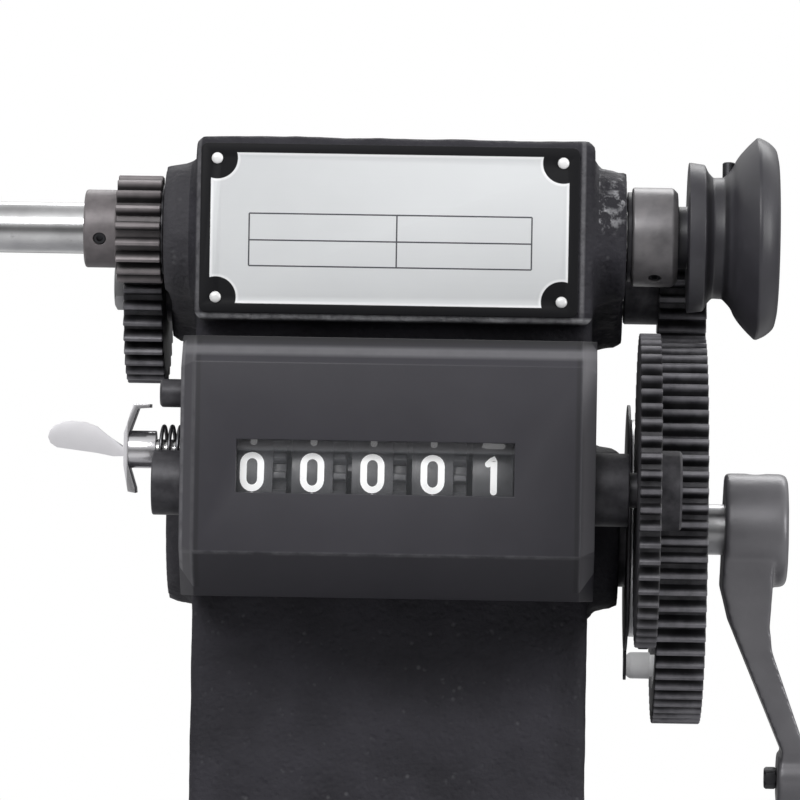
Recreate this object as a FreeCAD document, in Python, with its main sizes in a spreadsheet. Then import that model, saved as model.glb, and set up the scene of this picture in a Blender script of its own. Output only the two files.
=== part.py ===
"""Coil winding machine: a cast stand with a geared winding spindle, a crank and a turns counter.

The frame is +X along the spindle towards the crank, +Y to the back, +Z up. The origin is the
centre of the foot's underside. The crank shaft and the layshaft lie in the plane Y = 0, the
winding spindle lies in front of them and the counter in front of the spindle. Lengths are in
millimetres.
"""
import FreeCAD, Part
import math
import os

import Sketcher

Vector = FreeCAD.Vector
Rotation = FreeCAD.Rotation

# ---------------------------------------------------------------------------------------------
# Driving dimensions, one cell of the sheet each
# ---------------------------------------------------------------------------------------------
SIZES = {
    # stand casting
    "foot_length": 124.0, "foot_depth": 120.0, "foot_thickness": 10.0, "foot_corner": 12.0,
    "foot_hole_radius": 4.5, "foot_hole_inset": 13.0,
    "casting_width": 91.6, "casting_wall": 6.0, "casting_edge": 2.2,
    "column_front": 38.0, "column_back": 28.0, "skirt_height": 12.0, "skirt_flare": 9.0,
    "head_front": 50.0, "head_back": 20.0, "head_height": 42.2, "head_above_spindle": 21.2,
    "boss_length": 7.5,
    "spindle_boss_root": 16.2, "spindle_boss_end": 14.8,
    "layshaft_boss_root": 14.0, "layshaft_boss_end": 13.2,
    "crank_boss_root": 20.0, "crank_boss_end": 18.6,
    # fits
    "running_gap": 0.05, "side_gap": 0.3,
    # gear train
    "crank_height": 116.0, "gear_module": 1.25, "tooth_backlash": 0.16, "mesh_gap": 0.05,
    "spindle_rise": 12.0, "counter_rise": 10.0, "tooth_chamfer": 0.5,
    "step_gear_width": 11.4, "spindle_gear_width": 10.4, "counter_gear_width": 4.8,
    "drive_gear_width": 5.0,
    # winding spindle
    "spindle_radius": 5.9, "spindle_left": 206.0, "spindle_right": 84.0,
    "thread_length": 92.0, "thread_radius": 5.0, "spindle_tip": 1.2,
    "spindle_hub_radius": 9.05, "spindle_hub_length": 7.6, "hub_screw_radius": 1.5,
    "washer_radius": 10.4, "washer_thickness": 1.1, "thin_washer": 0.5,
    "collar_radius": 11.5, "collar_length": 10.6, "collar_chamfer": 1.2,
    "pulley_neck_radius": 7.2, "pulley_neck_length": 2.4,
    "pulley_flange_radius": 17.6, "pulley_flange_width": 3.7, "pulley_groove_radius": 14.0,
    "pulley_groove_width": 2.4, "pulley_groove_slope": 1.9, "pulley_dish_width": 7.9,
    "pulley_rim_radius": 23.5, "pulley_rim_width": 4.8, "pulley_rim_drop": 5.4,
    "pulley_recess_radius": 15.0, "pulley_recess_depth": 5.0,
    # work clamps on the spindle's thread
    "lock_nut_flats": 17.0, "lock_nut_thickness": 6.0, "lock_nut_setback": 5.0,
    "cone_length": 17.0, "cone_small_radius": 6.6, "cone_large_radius": 14.0,
    "cone_flange": 3.0, "cone_spacing": 26.0, "thread_gap": 0.08,
    "wing_nut_hub_radius": 8.0, "wing_nut_hub_length": 9.0, "wing_span": 44.0,
    "wing_height": 15.0, "wing_thickness": 3.2,
    # layshaft
    "layshaft_radius": 4.0, "layshaft_hub_radius": 7.8,
    "layshaft_gear_width": 9.2, "layshaft_gear_hub_radius": 8.8,
    "layshaft_nut_flats": 11.0, "layshaft_nut_thickness": 3.4,
    # crank
    "crank_shaft_radius": 6.0, "crank_collar_radius": 11.0, "crank_collar_length": 8.0,
    "crank_gear_rim": 6.0, "crank_gear_web": 6.0, "crank_gear_hub_radius": 14.0,
    "drive_gear_start": 55.9, "drive_hub_radius": 12.0, "gear_spacing": 0.9,
    "drive_drum_length": 2.5, "drive_drum_radius": 25.8,
    "brake_orbit": 32.6, "brake_radius": 3.15, "brake_shank": 2.0, "brake_length": 5.6,
    "brake_pad_radius": 2.6, "brake_packing": 1.7, "brake_packing_radius": 14.0,
    "brake_spring_bore": 7.0, "brake_spring_radius": 29.3, "brake_spring_thickness": 0.7,
    "brake_tongue_width": 7.0,
    "brake_screw_radius": 1.5, "brake_screw_head": 2.6, "brake_screw_depth": 6.0,
    "brake_screw_offset": 10.6,
    "crank_hub_start": 78.4, "crank_hub_radius": 13.45, "crank_hub_length": 15.0,
    "crank_throw": 58.8, "arm_end_start": 92.8, "arm_end_length": 10.5, "arm_end_radius": 6.6,
    "arm_boss_step": 1.0,
    "arm_thickness": 4.9, "arm_root_drop": 21.5, "arm_hub_width": 24.0, "arm_end_width": 11.0,
    "grip_bolt_radius": 3.0, "grip_tail_radius": 1.3, "grip_nut_flats": 4.6,
    "grip_nut_thickness": 2.9, "grip_radius": 11.0, "grip_neck_radius": 7.4,
    "grip_length": 58.0, "grip_head_radius": 5.6, "grip_head_thickness": 2.6,
    # bearings
    "spindle_bearing_radius": 8.2, "layshaft_bush_radius": 6.6, "crank_bush_radius": 9.0,
    "bush_length": 14.0,
    # nameplate
    "plate_length": 86.6, "plate_height": 38.8, "plate_thickness": 0.8, "plate_corner": 1.5,
    "plate_shift": -1.1,
    "rivet_spacing_x": 79.2, "rivet_spacing_z": 31.8, "rivet_head_radius": 1.4,
    "rivet_head_height": 0.7, "rivet_shank_radius": 0.9, "rivet_shank_length": 4.0,
    # counter housing
    "cover_width": 93.2, "cover_front": 80.2, "cover_top": 159.4, "cover_bottom": 100.8,
    "cover_bevel": 5.8, "cover_lower_bevel": 10.3, "cover_side_bevel": 3.2, "cover_wall": 2.7,
    "window_left": 33.8, "window_right": 28.4, "window_bottom": 124.4, "window_height": 11.9,
    "pane_thickness": 0.9, "pane_margin": 2.5,
    "chassis_wall": 2.0, "chassis_front": 73.0, "chassis_bottom": 109.0, "chassis_height": 43.0,
    "chassis_width": 86.8,
    "counter_screw_radius": 2.0, "counter_screw_head": 3.6, "counter_screw_inset": 10.0,
    "counter_screw_length": 7.0, "counter_screw_head_height": 2.2,
    "left_bush_radius": 7.35, "left_bush_reach": 7.0, "right_bush_radius": 8.3,
    "right_bush_reach": 7.8, "stop_pin_radius": 3.2, "stop_pin_reach": 5.3,
    "stop_pin_rise": 20.3, "stop_pin_forward": 4.0,
    # counter works
    "counter_shaft_radius": 4.0, "wheel_radius": 15.0, "wheel_width": 9.2, "wheel_pitch": 13.5,
    "wheel_centre_x": -3.4, "wheel_hub_radius": 6.4, "wheel_rim": 1.8, "wheel_web": 3.0,
    "carry_module": 1.4, "carry_gear_width": 3.0, "carry_pinion_width": 3.7,
    "carry_backlash": 0.75, "carry_setback": 3.0, "carry_shaft_radius": 1.5,
    "carry_lug_inner": 8.6, "carry_lug_outer": 12.3, "carry_lug_width": 2.6,
    "counter_gear_start": 56.2, "counter_hub_radius": 9.1, "counter_hub_length": 5.3,
    # zero setting
    "reset_rise": 7.3, "reset_module": 0.8, "reset_backlash": 0.3, "reset_gear_width": 3.0,
    "reset_gear_gap": 0.6, "reset_shaft_radius": 2.4, "reset_hub_radius": 4.3,
    "reset_hub_start": 7.1, "reset_hub_length": 6.2, "reset_bush_radius": 4.0,
    "spring_radius": 5.4, "spring_wire": 0.45, "spring_pitch": 1.9,
    "strap_thickness": 1.1, "strap_width": 8.0, "strap_reach": 10.4, "leaf_reach": 18.7,
    "leaf_width": 8.0,
}

# tooth counts of the gears, by the gear they belong to
CRANK_GEAR_TEETH = 72
DRIVE_GEAR_TEETH = 44
COUNTER_GEAR_TEETH = 55
LAYSHAFT_GEAR_TEETH = 36
STEP_PINION_TEETH = 18
WHEEL_GEAR_TEETH = 20
CARRY_PINION_TEETH = 8
RESET_GEAR_TEETH = 24
RESET_PINION_TEETH = 12
PRESSURE_ANGLE = math.radians(20.0)
WHEEL_COUNT = 5

doc = FreeCAD.newDocument("coil_winder")
sheet = doc.addObject("Spreadsheet::Sheet", "Sizes")
parts = {}


# ---------------------------------------------------------------------------------------------
# A length with its value and the expression that ties a property to the sheet
# ---------------------------------------------------------------------------------------------
class Length:
    """A number that remembers how it was worked out from the sheet's cells."""

    def __init__(self, value, text):
        self.value = float(value)
        self.text = text

    @staticmethod
    def of(other):
        return other if isinstance(other, Length) else Length(other, repr(other))

    def _join(self, other, sign, value):
        return Length(value, "(%s %s %s)" % (self.text, sign, other.text))

    def __add__(self, other):
        other = Length.of(other)
        return self._join(other, "+", self.value + other.value)

    def __sub__(self, other):
        other = Length.of(other)
        return self._join(other, "-", self.value - other.value)

    def __mul__(self, other):
        other = Length.of(other)
        return self._join(other, "*", self.value * other.value)

    def __truediv__(self, other):
        other = Length.of(other)
        return self._join(other, "/", self.value / other.value)

    def __neg__(self):
        return Length(-self.value, "(-1 * %s)" % self.text)

    def __radd__(self, other):
        return Length.of(other) + self

    def __rsub__(self, other):
        return Length.of(other) - self

    def __rmul__(self, other):
        return Length.of(other) * self

    def root(self):
        return Length(math.sqrt(self.value), "sqrt(%s)" % self.text)


class Sizes:
    """The sheet's cells as attributes, each a Length."""


def fill_sheet():
    """Writes each driving dimension into a cell of its own and returns them as Lengths."""
    sizes = Sizes()
    for row, (alias, value) in enumerate(SIZES.items(), start=1):
        sheet.set("A%d" % row, alias)
        sheet.set("B%d" % row, str(value))
        sheet.setAlias("B%d" % row, alias)
        setattr(sizes, alias, Length(value, "Sizes.%s" % alias))
    doc.recompute()
    return sizes


s = fill_sheet()
ZERO = Length(0, "0")


class Axis:
    """A shaft's line along X: its place in Y and Z."""

    def __init__(self, y, z):
        self.y = Length.of(y)
        self.z = Length.of(z)

    def direction_to(self, other):
        """Angle in degrees, about +X from +Y, of the line to another shaft."""
        return math.degrees(math.atan2(other.z.value - self.z.value, other.y.value - self.y.value))


def bind(thing, **properties):
    """Ties properties of an object to the sheet: bind(box, Length=s.foot_length)."""
    for name, length in properties.items():
        length = Length.of(length)
        setattr(thing, name, length.value)
        thing.setExpression(name, length.text)


def place(thing, x, y, z, rotation=Rotation()):
    """Puts an object at a place worked out from the sheet."""
    x, y, z = Length.of(x), Length.of(y), Length.of(z)
    thing.Placement = FreeCAD.Placement(Vector(x.value, y.value, z.value), rotation)
    for coordinate, length in (("x", x), ("y", y), ("z", z)):
        thing.setExpression("Placement.Base." + coordinate, length.text)


def part(label, thing):
    """Registers a finished piece under its node name."""
    thing.Label = label
    parts[label] = thing
    return thing


# ---------------------------------------------------------------------------------------------
# Sketches
# ---------------------------------------------------------------------------------------------
def origin_plane(body, role):
    return next(f for f in body.Origin.OriginFeatures if f.Role == role)


def new_sketch(body, role, offset=None):
    sketch = body.newObject("Sketcher::SketchObject", "Sketch")
    sketch.AttachmentSupport = [(origin_plane(body, role), "")]
    sketch.MapMode = "FlatFace"
    if offset is not None:
        sketch.AttachmentOffset = FreeCAD.Placement(Vector(0, 0, offset.value), Rotation())
        sketch.setExpression("AttachmentOffset.Base.z", offset.text)
    return sketch


def tie_point(sketch, geometry, position, x, y):
    """Dimensions one sketch point from the origin, along both axes."""
    for kind, cross_axis, length in (("DistanceX", -2, x), ("DistanceY", -1, y)):
        if length.text == "0":
            sketch.addConstraint(Sketcher.Constraint("PointOnObject", geometry, position, cross_axis))
        elif length.value < 0:
            index = sketch.addConstraint(
                Sketcher.Constraint(kind, geometry, position, -1, 1, -length.value))
            sketch.setExpression("Constraints[%d]" % index, (-length).text)
        else:
            index = sketch.addConstraint(
                Sketcher.Constraint(kind, -1, 1, geometry, position, length.value))
            sketch.setExpression("Constraints[%d]" % index, length.text)


def polygon(body, role, points, offset=None):
    """A closed outline of straight lines whose corners are dimensioned from the origin."""
    sketch = new_sketch(body, role, offset)
    points = [(Length.of(x) if x else ZERO, Length.of(y) if y else ZERO) for x, y in points]
    corners = [Vector(x.value, y.value, 0) for x, y in points]
    count = len(corners)
    sketch.addGeometry([Part.LineSegment(corners[i], corners[(i + 1) % count]) for i in range(count)])
    sketch.addConstraint([Sketcher.Constraint("Coincident", i, 2, (i + 1) % count, 1)
                          for i in range(count)])
    for i, (x, y) in enumerate(points):
        tie_point(sketch, i, 1, x, y)
    return sketch


def circles(body, role, items, offset=None):
    """Full circles, each given as (x, y, radius) in the sketch."""
    sketch = new_sketch(body, role, offset)
    for x, y, radius in items:
        x, y = Length.of(x) if x else ZERO, Length.of(y) if y else ZERO
        geometry = sketch.addGeometry(
            Part.Circle(Vector(x.value, y.value, 0), Vector(0, 0, 1), radius.value))
        index = sketch.addConstraint(Sketcher.Constraint("Radius", geometry, radius.value))
        sketch.setExpression("Constraints[%d]" % index, radius.text)
        if x.text == "0" and y.text == "0":
            sketch.addConstraint(Sketcher.Constraint("Coincident", geometry, 3, -1, 1))
        else:
            tie_point(sketch, geometry, 3, x, y)
    return sketch


def new_body(name):
    return doc.addObject("PartDesign::Body", name)


def pad(body, sketch, length, midplane=False, reverse=False):
    feature = body.newObject("PartDesign::Pad", "Pad")
    feature.Profile = sketch
    bind(feature, Length=length)
    feature.Midplane = midplane
    feature.Reversed = reverse
    return feature


def pocket(body, sketch, length, midplane=False, reverse=False):
    feature = body.newObject("PartDesign::Pocket", "Pocket")
    feature.Profile = sketch
    bind(feature, Length=length)
    feature.Midplane = midplane
    feature.Reversed = reverse
    return feature


def edge_names(shape, wanted):
    return ["Edge%d" % (i + 1) for i, edge in enumerate(shape.Edges) if wanted(edge)]


def dress(body, base, kind, size, wanted):
    """A fillet or a chamfer on the edges of a body's feature that a test picks out."""
    doc.recompute()
    feature = body.newObject("PartDesign::" + kind, kind)
    feature.Base = (base, edge_names(base.Shape, wanted))
    if kind == "Fillet":
        bind(feature, Radius=size)
    else:
        bind(feature, Size=size)
    return feature


def lies(edge, **values):
    """True if all of an edge lies at the coordinates given, such as lies(edge, X=45.8)."""
    box = edge.BoundBox
    tolerance = 1e-4
    return all(abs(getattr(box, axis + "Min") - value) < tolerance
               and abs(getattr(box, axis + "Max") - value) < tolerance
               for axis, value in values.items())


# ---------------------------------------------------------------------------------------------
# Turned pieces, gears, plates and groups
# ---------------------------------------------------------------------------------------------
def turned(name, axis, start, outline, turn=0.0):
    """A piece turned about a shaft's line: outline is (x, radius) corners, x from its start."""
    body = new_body(name)
    sketch = polygon(body, "XZ_Plane", outline)
    feature = body.newObject("PartDesign::Revolution", "Revolution")
    feature.Profile = sketch
    feature.ReferenceAxis = (sketch, ["H_Axis"])
    feature.Angle = 360
    place(body, start, axis.y, axis.z, Rotation(Vector(1, 0, 0), turn))
    return body


def ring(name, axis, start, length, radius, bore):
    """A plain bush, washer or collar."""
    return turned(name, axis, start, [(0, bore), (length, bore), (length, radius), (0, radius)])


def rod(name, axis, start, length, radius, chamfer):
    """A plain shaft with chamfered ends."""
    return turned(name, axis, start, [(0, 0), (length, 0), (length, radius - chamfer),
                                      (length - chamfer, radius), (chamfer, radius),
                                      (0, radius - chamfer)])


def pitch_radius(teeth, module):
    return module * (teeth / 2)


def tip_radius(teeth, module, addendum=1.0):
    return pitch_radius(teeth, module) + module * addendum


def root_radius(teeth, module, dedendum=1.25):
    return pitch_radius(teeth, module) - module * dedendum


def gap_points(teeth, module, backlash, addendum, dedendum):
    """Corner and middle points of one side of a tooth space, centred on the sketch's x axis."""
    pitch = teeth * module / 2
    base = pitch * math.cos(PRESSURE_ANGLE)
    tip = pitch + addendum * module
    root = pitch - dedendum * module
    half_tooth = (math.pi * module - backlash) / (4 * pitch)

    def involute(angle):
        return math.tan(angle) - angle

    def flank(radius):
        pressure = math.acos(min(1.0, base / max(radius, base)))
        half_gap = math.pi / teeth - (half_tooth + involute(PRESSURE_ANGLE) - involute(pressure))
        return Vector(radius * math.cos(half_gap), radius * math.sin(half_gap), 0)

    outside = tip + 0.3 * module
    lowest = max(base, root + 0.1 * module)
    return flank(root), flank(lowest), flank((lowest + outside) / 2), flank(outside)


def mirrored_point(point):
    return Vector(point.x, -point.y, 0)


def cut_teeth(body, teeth, module, width, backlash, addendum=1.0, dedendum=1.25):
    """Cuts one tooth space at the body's left face and repeats it round the axis."""
    foot, low, middle, top = gap_points(teeth, module.value, backlash.value, addendum, dedendum)
    sketch = new_sketch(body, "YZ_Plane")
    root_middle = Vector(foot.Length, 0, 0)
    outline = [Part.Arc(mirrored_point(foot), root_middle, foot)]
    if (low - foot).Length > 1e-6:
        outline.append(Part.LineSegment(foot, low))
    outline.append(Part.Arc(low, middle, top))
    outline.append(Part.Arc(top, Vector(top.Length, 0, 0), mirrored_point(top)))
    outline.append(Part.Arc(mirrored_point(top), mirrored_point(middle), mirrored_point(low)))
    if (low - foot).Length > 1e-6:
        outline.append(Part.LineSegment(mirrored_point(low), mirrored_point(foot)))
    sketch.addGeometry(outline)
    space = pocket(body, sketch, width, reverse=True)
    doc.recompute()
    pattern = body.newObject("PartDesign::PolarPattern", "Teeth")
    pattern.Originals = [space]
    pattern.Axis = (sketch, ["N_Axis"])
    pattern.Angle = 360
    pattern.Occurrences = teeth
    body.Tip = pattern
    return pattern


def gear(name, axis, start, teeth, module, width, outline, turn, backlash, **form):
    """A toothed wheel: a turned blank whose teeth start at its own x = 0."""
    body = turned(name, axis, start, outline, turn)
    cut_teeth(body, teeth, module, width, backlash, **form)
    return body


def blank(tip, width, bore, chamfer, left=(), right=()):
    """Outline of a gear blank: tip corners chamfered, with the corners of its hubs, if any."""
    return ([(0, bore)] if not left else []) + list(left) + [
        (0, tip - chamfer), (chamfer, tip), (width - chamfer, tip), (width, tip - chamfer),
    ] + list(right) + ([(width, bore)] if not right else [])


def mesh_turn(turn, teeth, other_teeth, direction):
    """The turn of a second gear in mesh with a first that stands at a turn of its own."""
    step = 360.0 / teeth
    tooth = (direction - turn - step / 2) / step
    offset = (round(tooth) - tooth) * step
    return direction + 180.0 - offset * teeth / other_teeth


def cylinder(name, radius, length, x, y, z, rotation):
    thing = doc.addObject("Part::Cylinder", name)
    bind(thing, Radius=radius, Height=length)
    place(thing, x, y, z, rotation)
    return thing


ALONG_X = Rotation(Vector(0, 1, 0), 90)
ALONG_Y = Rotation(Vector(1, 0, 0), -90)
UPRIGHT = Rotation()


def fuse(name, things):
    thing = doc.addObject("Part::MultiFuse", name)
    thing.Shapes = things
    return thing


def cut(name, base, tool):
    thing = doc.addObject("Part::Cut", name)
    thing.Base = base
    thing.Tool = tool
    return thing


def group(name, things):
    """Like pieces that share one node: a compound of separate solids."""
    thing = doc.addObject("Part::Compound", name)
    thing.Links = things
    return thing


def hexagon(name, axis, start, thickness, flats, bore):
    """A hexagon nut on a shaft, its outer corners turned off."""
    body = new_body(name)
    half = flats / 2
    corner = half / math.cos(math.radians(30))
    sketch = polygon(body, "YZ_Plane", [(half, corner / 2), (0, corner), (-half, corner / 2),
                                        (-half, -corner / 2), (0, -corner), (half, -corner / 2)])
    pad(body, sketch, thickness)
    hole = circles(body, "YZ_Plane", [(0, 0, bore)])
    pocket(body, hole, thickness, reverse=True)
    corner_turning = polygon(body, "XZ_Plane", [(0, half * 0.98), (0, corner * 1.1),
                                                (thickness, corner * 1.1), (thickness, half * 0.98),
                                                (thickness * 0.82, corner * 1.02),
                                                (thickness * 0.18, corner * 1.02)])
    groove = body.newObject("PartDesign::Groove", "Groove")
    groove.Profile = corner_turning
    groove.ReferenceAxis = (corner_turning, ["H_Axis"])
    groove.Angle = 360
    place(body, start, axis.y, axis.z)
    return body


# ---------------------------------------------------------------------------------------------
# Shaft lines, worked out from the gear train
# ---------------------------------------------------------------------------------------------
def centre_distance(teeth, other_teeth, module):
    return pitch_radius(teeth + other_teeth, module) + s.mesh_gap


def offset_back(distance, rise):
    """Depth between two shafts, from their centre distance and the rise between them."""
    return (distance * distance - rise * rise).root()


crank = Axis(ZERO, s.crank_height)
layshaft = Axis(ZERO, crank.z + centre_distance(CRANK_GEAR_TEETH, STEP_PINION_TEETH, s.gear_module))
spindle = Axis(-offset_back(centre_distance(LAYSHAFT_GEAR_TEETH, STEP_PINION_TEETH, s.gear_module),
                            s.spindle_rise), layshaft.z + s.spindle_rise)
counter = Axis(-offset_back(centre_distance(DRIVE_GEAR_TEETH, COUNTER_GEAR_TEETH, s.gear_module),
                            s.counter_rise), crank.z + s.counter_rise)
reset = Axis(counter.y + offset_back(
    centre_distance(RESET_GEAR_TEETH, RESET_PINION_TEETH, s.reset_module), s.reset_rise),
    counter.z + s.reset_rise)
carry = Axis(counter.y + s.carry_setback, counter.z + offset_back(
    centre_distance(WHEEL_GEAR_TEETH, CARRY_PINION_TEETH, s.carry_module), s.carry_setback))

half_width = s.casting_width / 2
boss_end = half_width + s.boss_length
head_top = spindle.z + s.head_above_spindle
head_bottom = head_top - s.head_height
brake = Axis(crank.y, crank.z - s.brake_orbit)


# ---------------------------------------------------------------------------------------------
# Stand casting: foot, hollow column, head and bearing bosses
# ---------------------------------------------------------------------------------------------
def boss(name, axis, root, end, side):
    """A bearing boss on one side of the casting, tapered for the mould."""
    inner = half_width - s.casting_wall
    thing = turned(name, axis, -inner if side < 0 else inner,
                   [(0, 0), (0, root), (side * s.casting_wall, root),
                    (side * (boss_end - inner), end), (side * (boss_end - inner), 0)])
    return thing


def boss_bridge(side):
    """The web that joins the spindle's and the layshaft's bosses on one side."""
    body = new_body("boss_bridge")
    inner = half_width - s.casting_wall
    sketch = polygon(body, "YZ_Plane", [
        (spindle.y + 2, spindle.z + s.spindle_boss_end * 0.93),
        (layshaft.y + 5, layshaft.z + s.layshaft_boss_end * 0.9),
        (layshaft.y - 5, layshaft.z - s.layshaft_boss_end * 0.9),
        (spindle.y - 4, spindle.z - s.spindle_boss_end * 0.9)])
    pad(body, sketch, boss_end - inner - 0.8, reverse=side < 0)
    place(body, side * inner, ZERO, ZERO)
    return body


def outer_shape():
    """Foot, skirt, column and head before they are hollowed."""
    body = new_body("casting_outside")
    front, back = -s.column_front, s.column_back
    skirt_top = s.foot_thickness + s.skirt_height
    outline = polygon(body, "YZ_Plane", [
        (front - s.skirt_flare, s.foot_thickness / 2), (back + s.skirt_flare, s.foot_thickness / 2),
        (back + s.skirt_flare, s.foot_thickness), (back, skirt_top),
        (back, head_bottom - s.skirt_flare), (s.head_back, head_bottom), (s.head_back, head_top),
        (-s.head_front, head_top), (-s.head_front, head_bottom), (front, head_bottom),
        (front, skirt_top), (front - s.skirt_flare, s.foot_thickness)])
    block = pad(body, outline, s.casting_width, midplane=True)
    edges = dress(body, block, "Fillet", s.casting_edge, lambda edge: (
        (abs(abs(edge.BoundBox.XMin) - half_width.value) < 1e-4
         and edge.BoundBox.XLength < 1e-4 and edge.BoundBox.ZMin > s.foot_thickness.value)
        or lies(edge, Z=head_top.value)
        or lies(edge, Y=-s.head_front.value, Z=head_bottom.value)))
    half_x, half_y = s.foot_length / 2, s.foot_depth / 2
    plan = polygon(body, "XY_Plane", [(-half_x, -half_y), (half_x, -half_y),
                                      (half_x, half_y), (-half_x, half_y)])
    foot = pad(body, plan, s.foot_thickness)
    corners = dress(body, foot, "Fillet", s.foot_corner, lambda edge: (
        edge.BoundBox.XLength < 1e-4 and edge.BoundBox.YLength < 1e-4
        and abs(abs(edge.BoundBox.XMin) - half_x.value) < 1e-4))
    dress(body, corners, "Fillet", s.casting_edge, lambda edge: (
        lies(edge, Z=s.foot_thickness.value)
        and (abs(edge.BoundBox.XMax) > half_width.value + 1 or abs(edge.BoundBox.YMax) > 50)))
    return body


def hollow_shape():
    """The space inside the column and head, open through the foot."""
    body = new_body("casting_inside")
    wall = s.casting_wall
    outline = polygon(body, "YZ_Plane", [
        (-s.column_front + wall, ZERO), (s.column_back - wall, ZERO),
        (s.column_back - wall, head_bottom - s.skirt_flare), (s.head_back - wall, head_bottom),
        (s.head_back - wall, head_top - wall), (-s.head_front + 2 * wall, head_top - wall),
        (-s.head_front + 2 * wall, head_bottom + wall),
        (-s.column_front + wall, head_bottom + wall)])
    pad(body, outline, s.casting_width - 2 * wall, midplane=True)
    return body


def brake_screw(name, side):
    """Countersunk screw that holds the brake's spring on the right boss."""
    depth = s.brake_screw_depth
    length = depth + s.brake_packing + s.brake_spring_thickness
    axis = Axis(crank.y + side * s.brake_screw_offset, crank.z)
    return turned(name, axis, boss_end - depth, [
        (0, 0), (length, 0), (length, s.brake_screw_head), (depth, s.brake_screw_radius),
        (0, s.brake_screw_radius)])


def stand():
    solids = [outer_shape()]
    for side in (-1, 1):
        solids += [boss("spindle_boss", spindle, s.spindle_boss_root, s.spindle_boss_end, side),
                   boss("layshaft_boss", layshaft, s.layshaft_boss_root, s.layshaft_boss_end, side),
                   boss("crank_boss", crank, s.crank_boss_root, s.crank_boss_end, side),
                   boss_bridge(side)]
    body = fuse("casting_solid", solids)
    tools = [hollow_shape()]
    for axis, radius in ((spindle, s.spindle_bearing_radius), (layshaft, s.layshaft_bush_radius),
                         (crank, s.crank_bush_radius)):
        tools.append(cylinder("bore", radius, 2 * boss_end + 2, -boss_end - 1, axis.y, axis.z,
                              ALONG_X))
    for x in (-1, 1):
        for y in (-1, 1):
            tools.append(cylinder("bolt_hole", s.foot_hole_radius, s.foot_thickness + 2,
                                  x * (s.foot_length / 2 - s.foot_hole_inset),
                                  y * (s.foot_depth / 2 - s.foot_hole_inset), -1, UPRIGHT))
    for x, z in rivet_places():
        tools.append(cylinder("rivet_hole", s.rivet_shank_radius, s.casting_wall + 1,
                              x, -s.head_front - 0.5, z, ALONG_Y))
    for x, z in counter_screw_places():
        tools.append(cylinder("screw_hole", s.counter_screw_radius, s.casting_wall + 1,
                              x, -s.column_front - 0.5, z, ALONG_Y))
    tools += [brake_screw("screw_hole", side) for side in (-1, 1)]
    return cut("frame_casting", body, fuse("casting_hollows", tools))


def rivet_places():
    middle = (head_top + head_bottom) / 2
    return [(s.plate_shift + x * s.rivet_spacing_x / 2, middle + z * s.rivet_spacing_z / 2)
            for x in (-1, 1) for z in (-1, 1)]


def counter_screw_places():
    middle = s.chassis_bottom + s.chassis_height / 2
    half_x = s.chassis_width / 2 - s.counter_screw_inset
    half_z = s.chassis_height / 2 - s.counter_screw_inset * 0.7
    return [(x * half_x, middle + z * half_z) for x in (-1, 1) for z in (-1, 1)]


def bearing_pair(label, axis, radius, bore):
    """The same bush in both side walls of the casting."""
    length = s.bush_length
    return part(label, group(label, [
        ring("bush", axis, -boss_end, length, radius, bore),
        ring("bush", axis, boss_end - length, length, radius, bore)]))


def nameplate():
    body = new_body("nameplate")
    middle = (head_top + head_bottom) / 2
    half_x, half_z = s.plate_length / 2, s.plate_height / 2
    sketch = polygon(body, "XZ_Plane", [(-half_x, -half_z), (half_x, -half_z),
                                        (half_x, half_z), (-half_x, half_z)])
    sheet_metal = pad(body, sketch, s.plate_thickness)
    rounded = dress(body, sheet_metal, "Fillet", s.plate_corner, lambda edge: (
        edge.BoundBox.XLength < 1e-4 and edge.BoundBox.ZLength < 1e-4))
    holes = circles(body, "XZ_Plane", [
        (x * s.rivet_spacing_x / 2, z * s.rivet_spacing_z / 2, s.rivet_shank_radius)
        for x in (-1, 1) for z in (-1, 1)])
    pocket(body, holes, s.plate_thickness, reverse=True)
    place(body, s.plate_shift, -s.head_front, middle)
    return body


def rivet(x, z):
    """A domed drive rivet: its head stands on the plate and its shank in the casting."""
    radius, height, shank = s.rivet_head_radius, s.rivet_head_height, s.rivet_shank_radius
    body = turned("rivet", Axis(ZERO, ZERO), ZERO, [
        (0, 0), (s.rivet_shank_length, 0), (s.rivet_shank_length, shank),
        (0, shank), (0, radius), (-height * 0.6, radius * 0.78), (-height, radius * 0.35),
        (-height, 0)])
    place(body, x, -s.head_front - s.plate_thickness, z, Rotation(Vector(0, 0, 1), 90))
    return body


part("frame_casting", stand())
bearing_pair("spindle_bearings", spindle, s.spindle_bearing_radius,
             s.spindle_radius + s.running_gap)
bearing_pair("layshaft_bushes", layshaft, s.layshaft_bush_radius,
             s.layshaft_radius + s.running_gap)
bearing_pair("crank_bushes", crank, s.crank_bush_radius, s.crank_shaft_radius + s.running_gap)
part("nameplate", nameplate())
part("nameplate_rivets", group("nameplate_rivets", [rivet(x, z) for x, z in rivet_places()]))


# ---------------------------------------------------------------------------------------------
# Winding spindle: shaft, step-up gear, collar, pulley and work clamps
# ---------------------------------------------------------------------------------------------
def spindle_shaft():
    left, right = s.spindle_left, s.spindle_right
    thread, tip = s.thread_length, s.spindle_tip
    return turned("spindle", spindle, -left, [
        (0, 0), (left + right, 0), (left + right, s.spindle_radius - tip),
        (left + right - tip, s.spindle_radius), (thread, s.spindle_radius),
        (thread, s.thread_radius), (tip, s.thread_radius), (0, s.thread_radius - tip)])


washer_left = -boss_end - s.side_gap - s.thin_washer
spindle_gear_start = washer_left - s.spindle_gear_width
washer_right = boss_end + s.side_gap
collar_start = washer_right + s.washer_thickness
pulley_start = collar_start + s.collar_length

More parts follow.
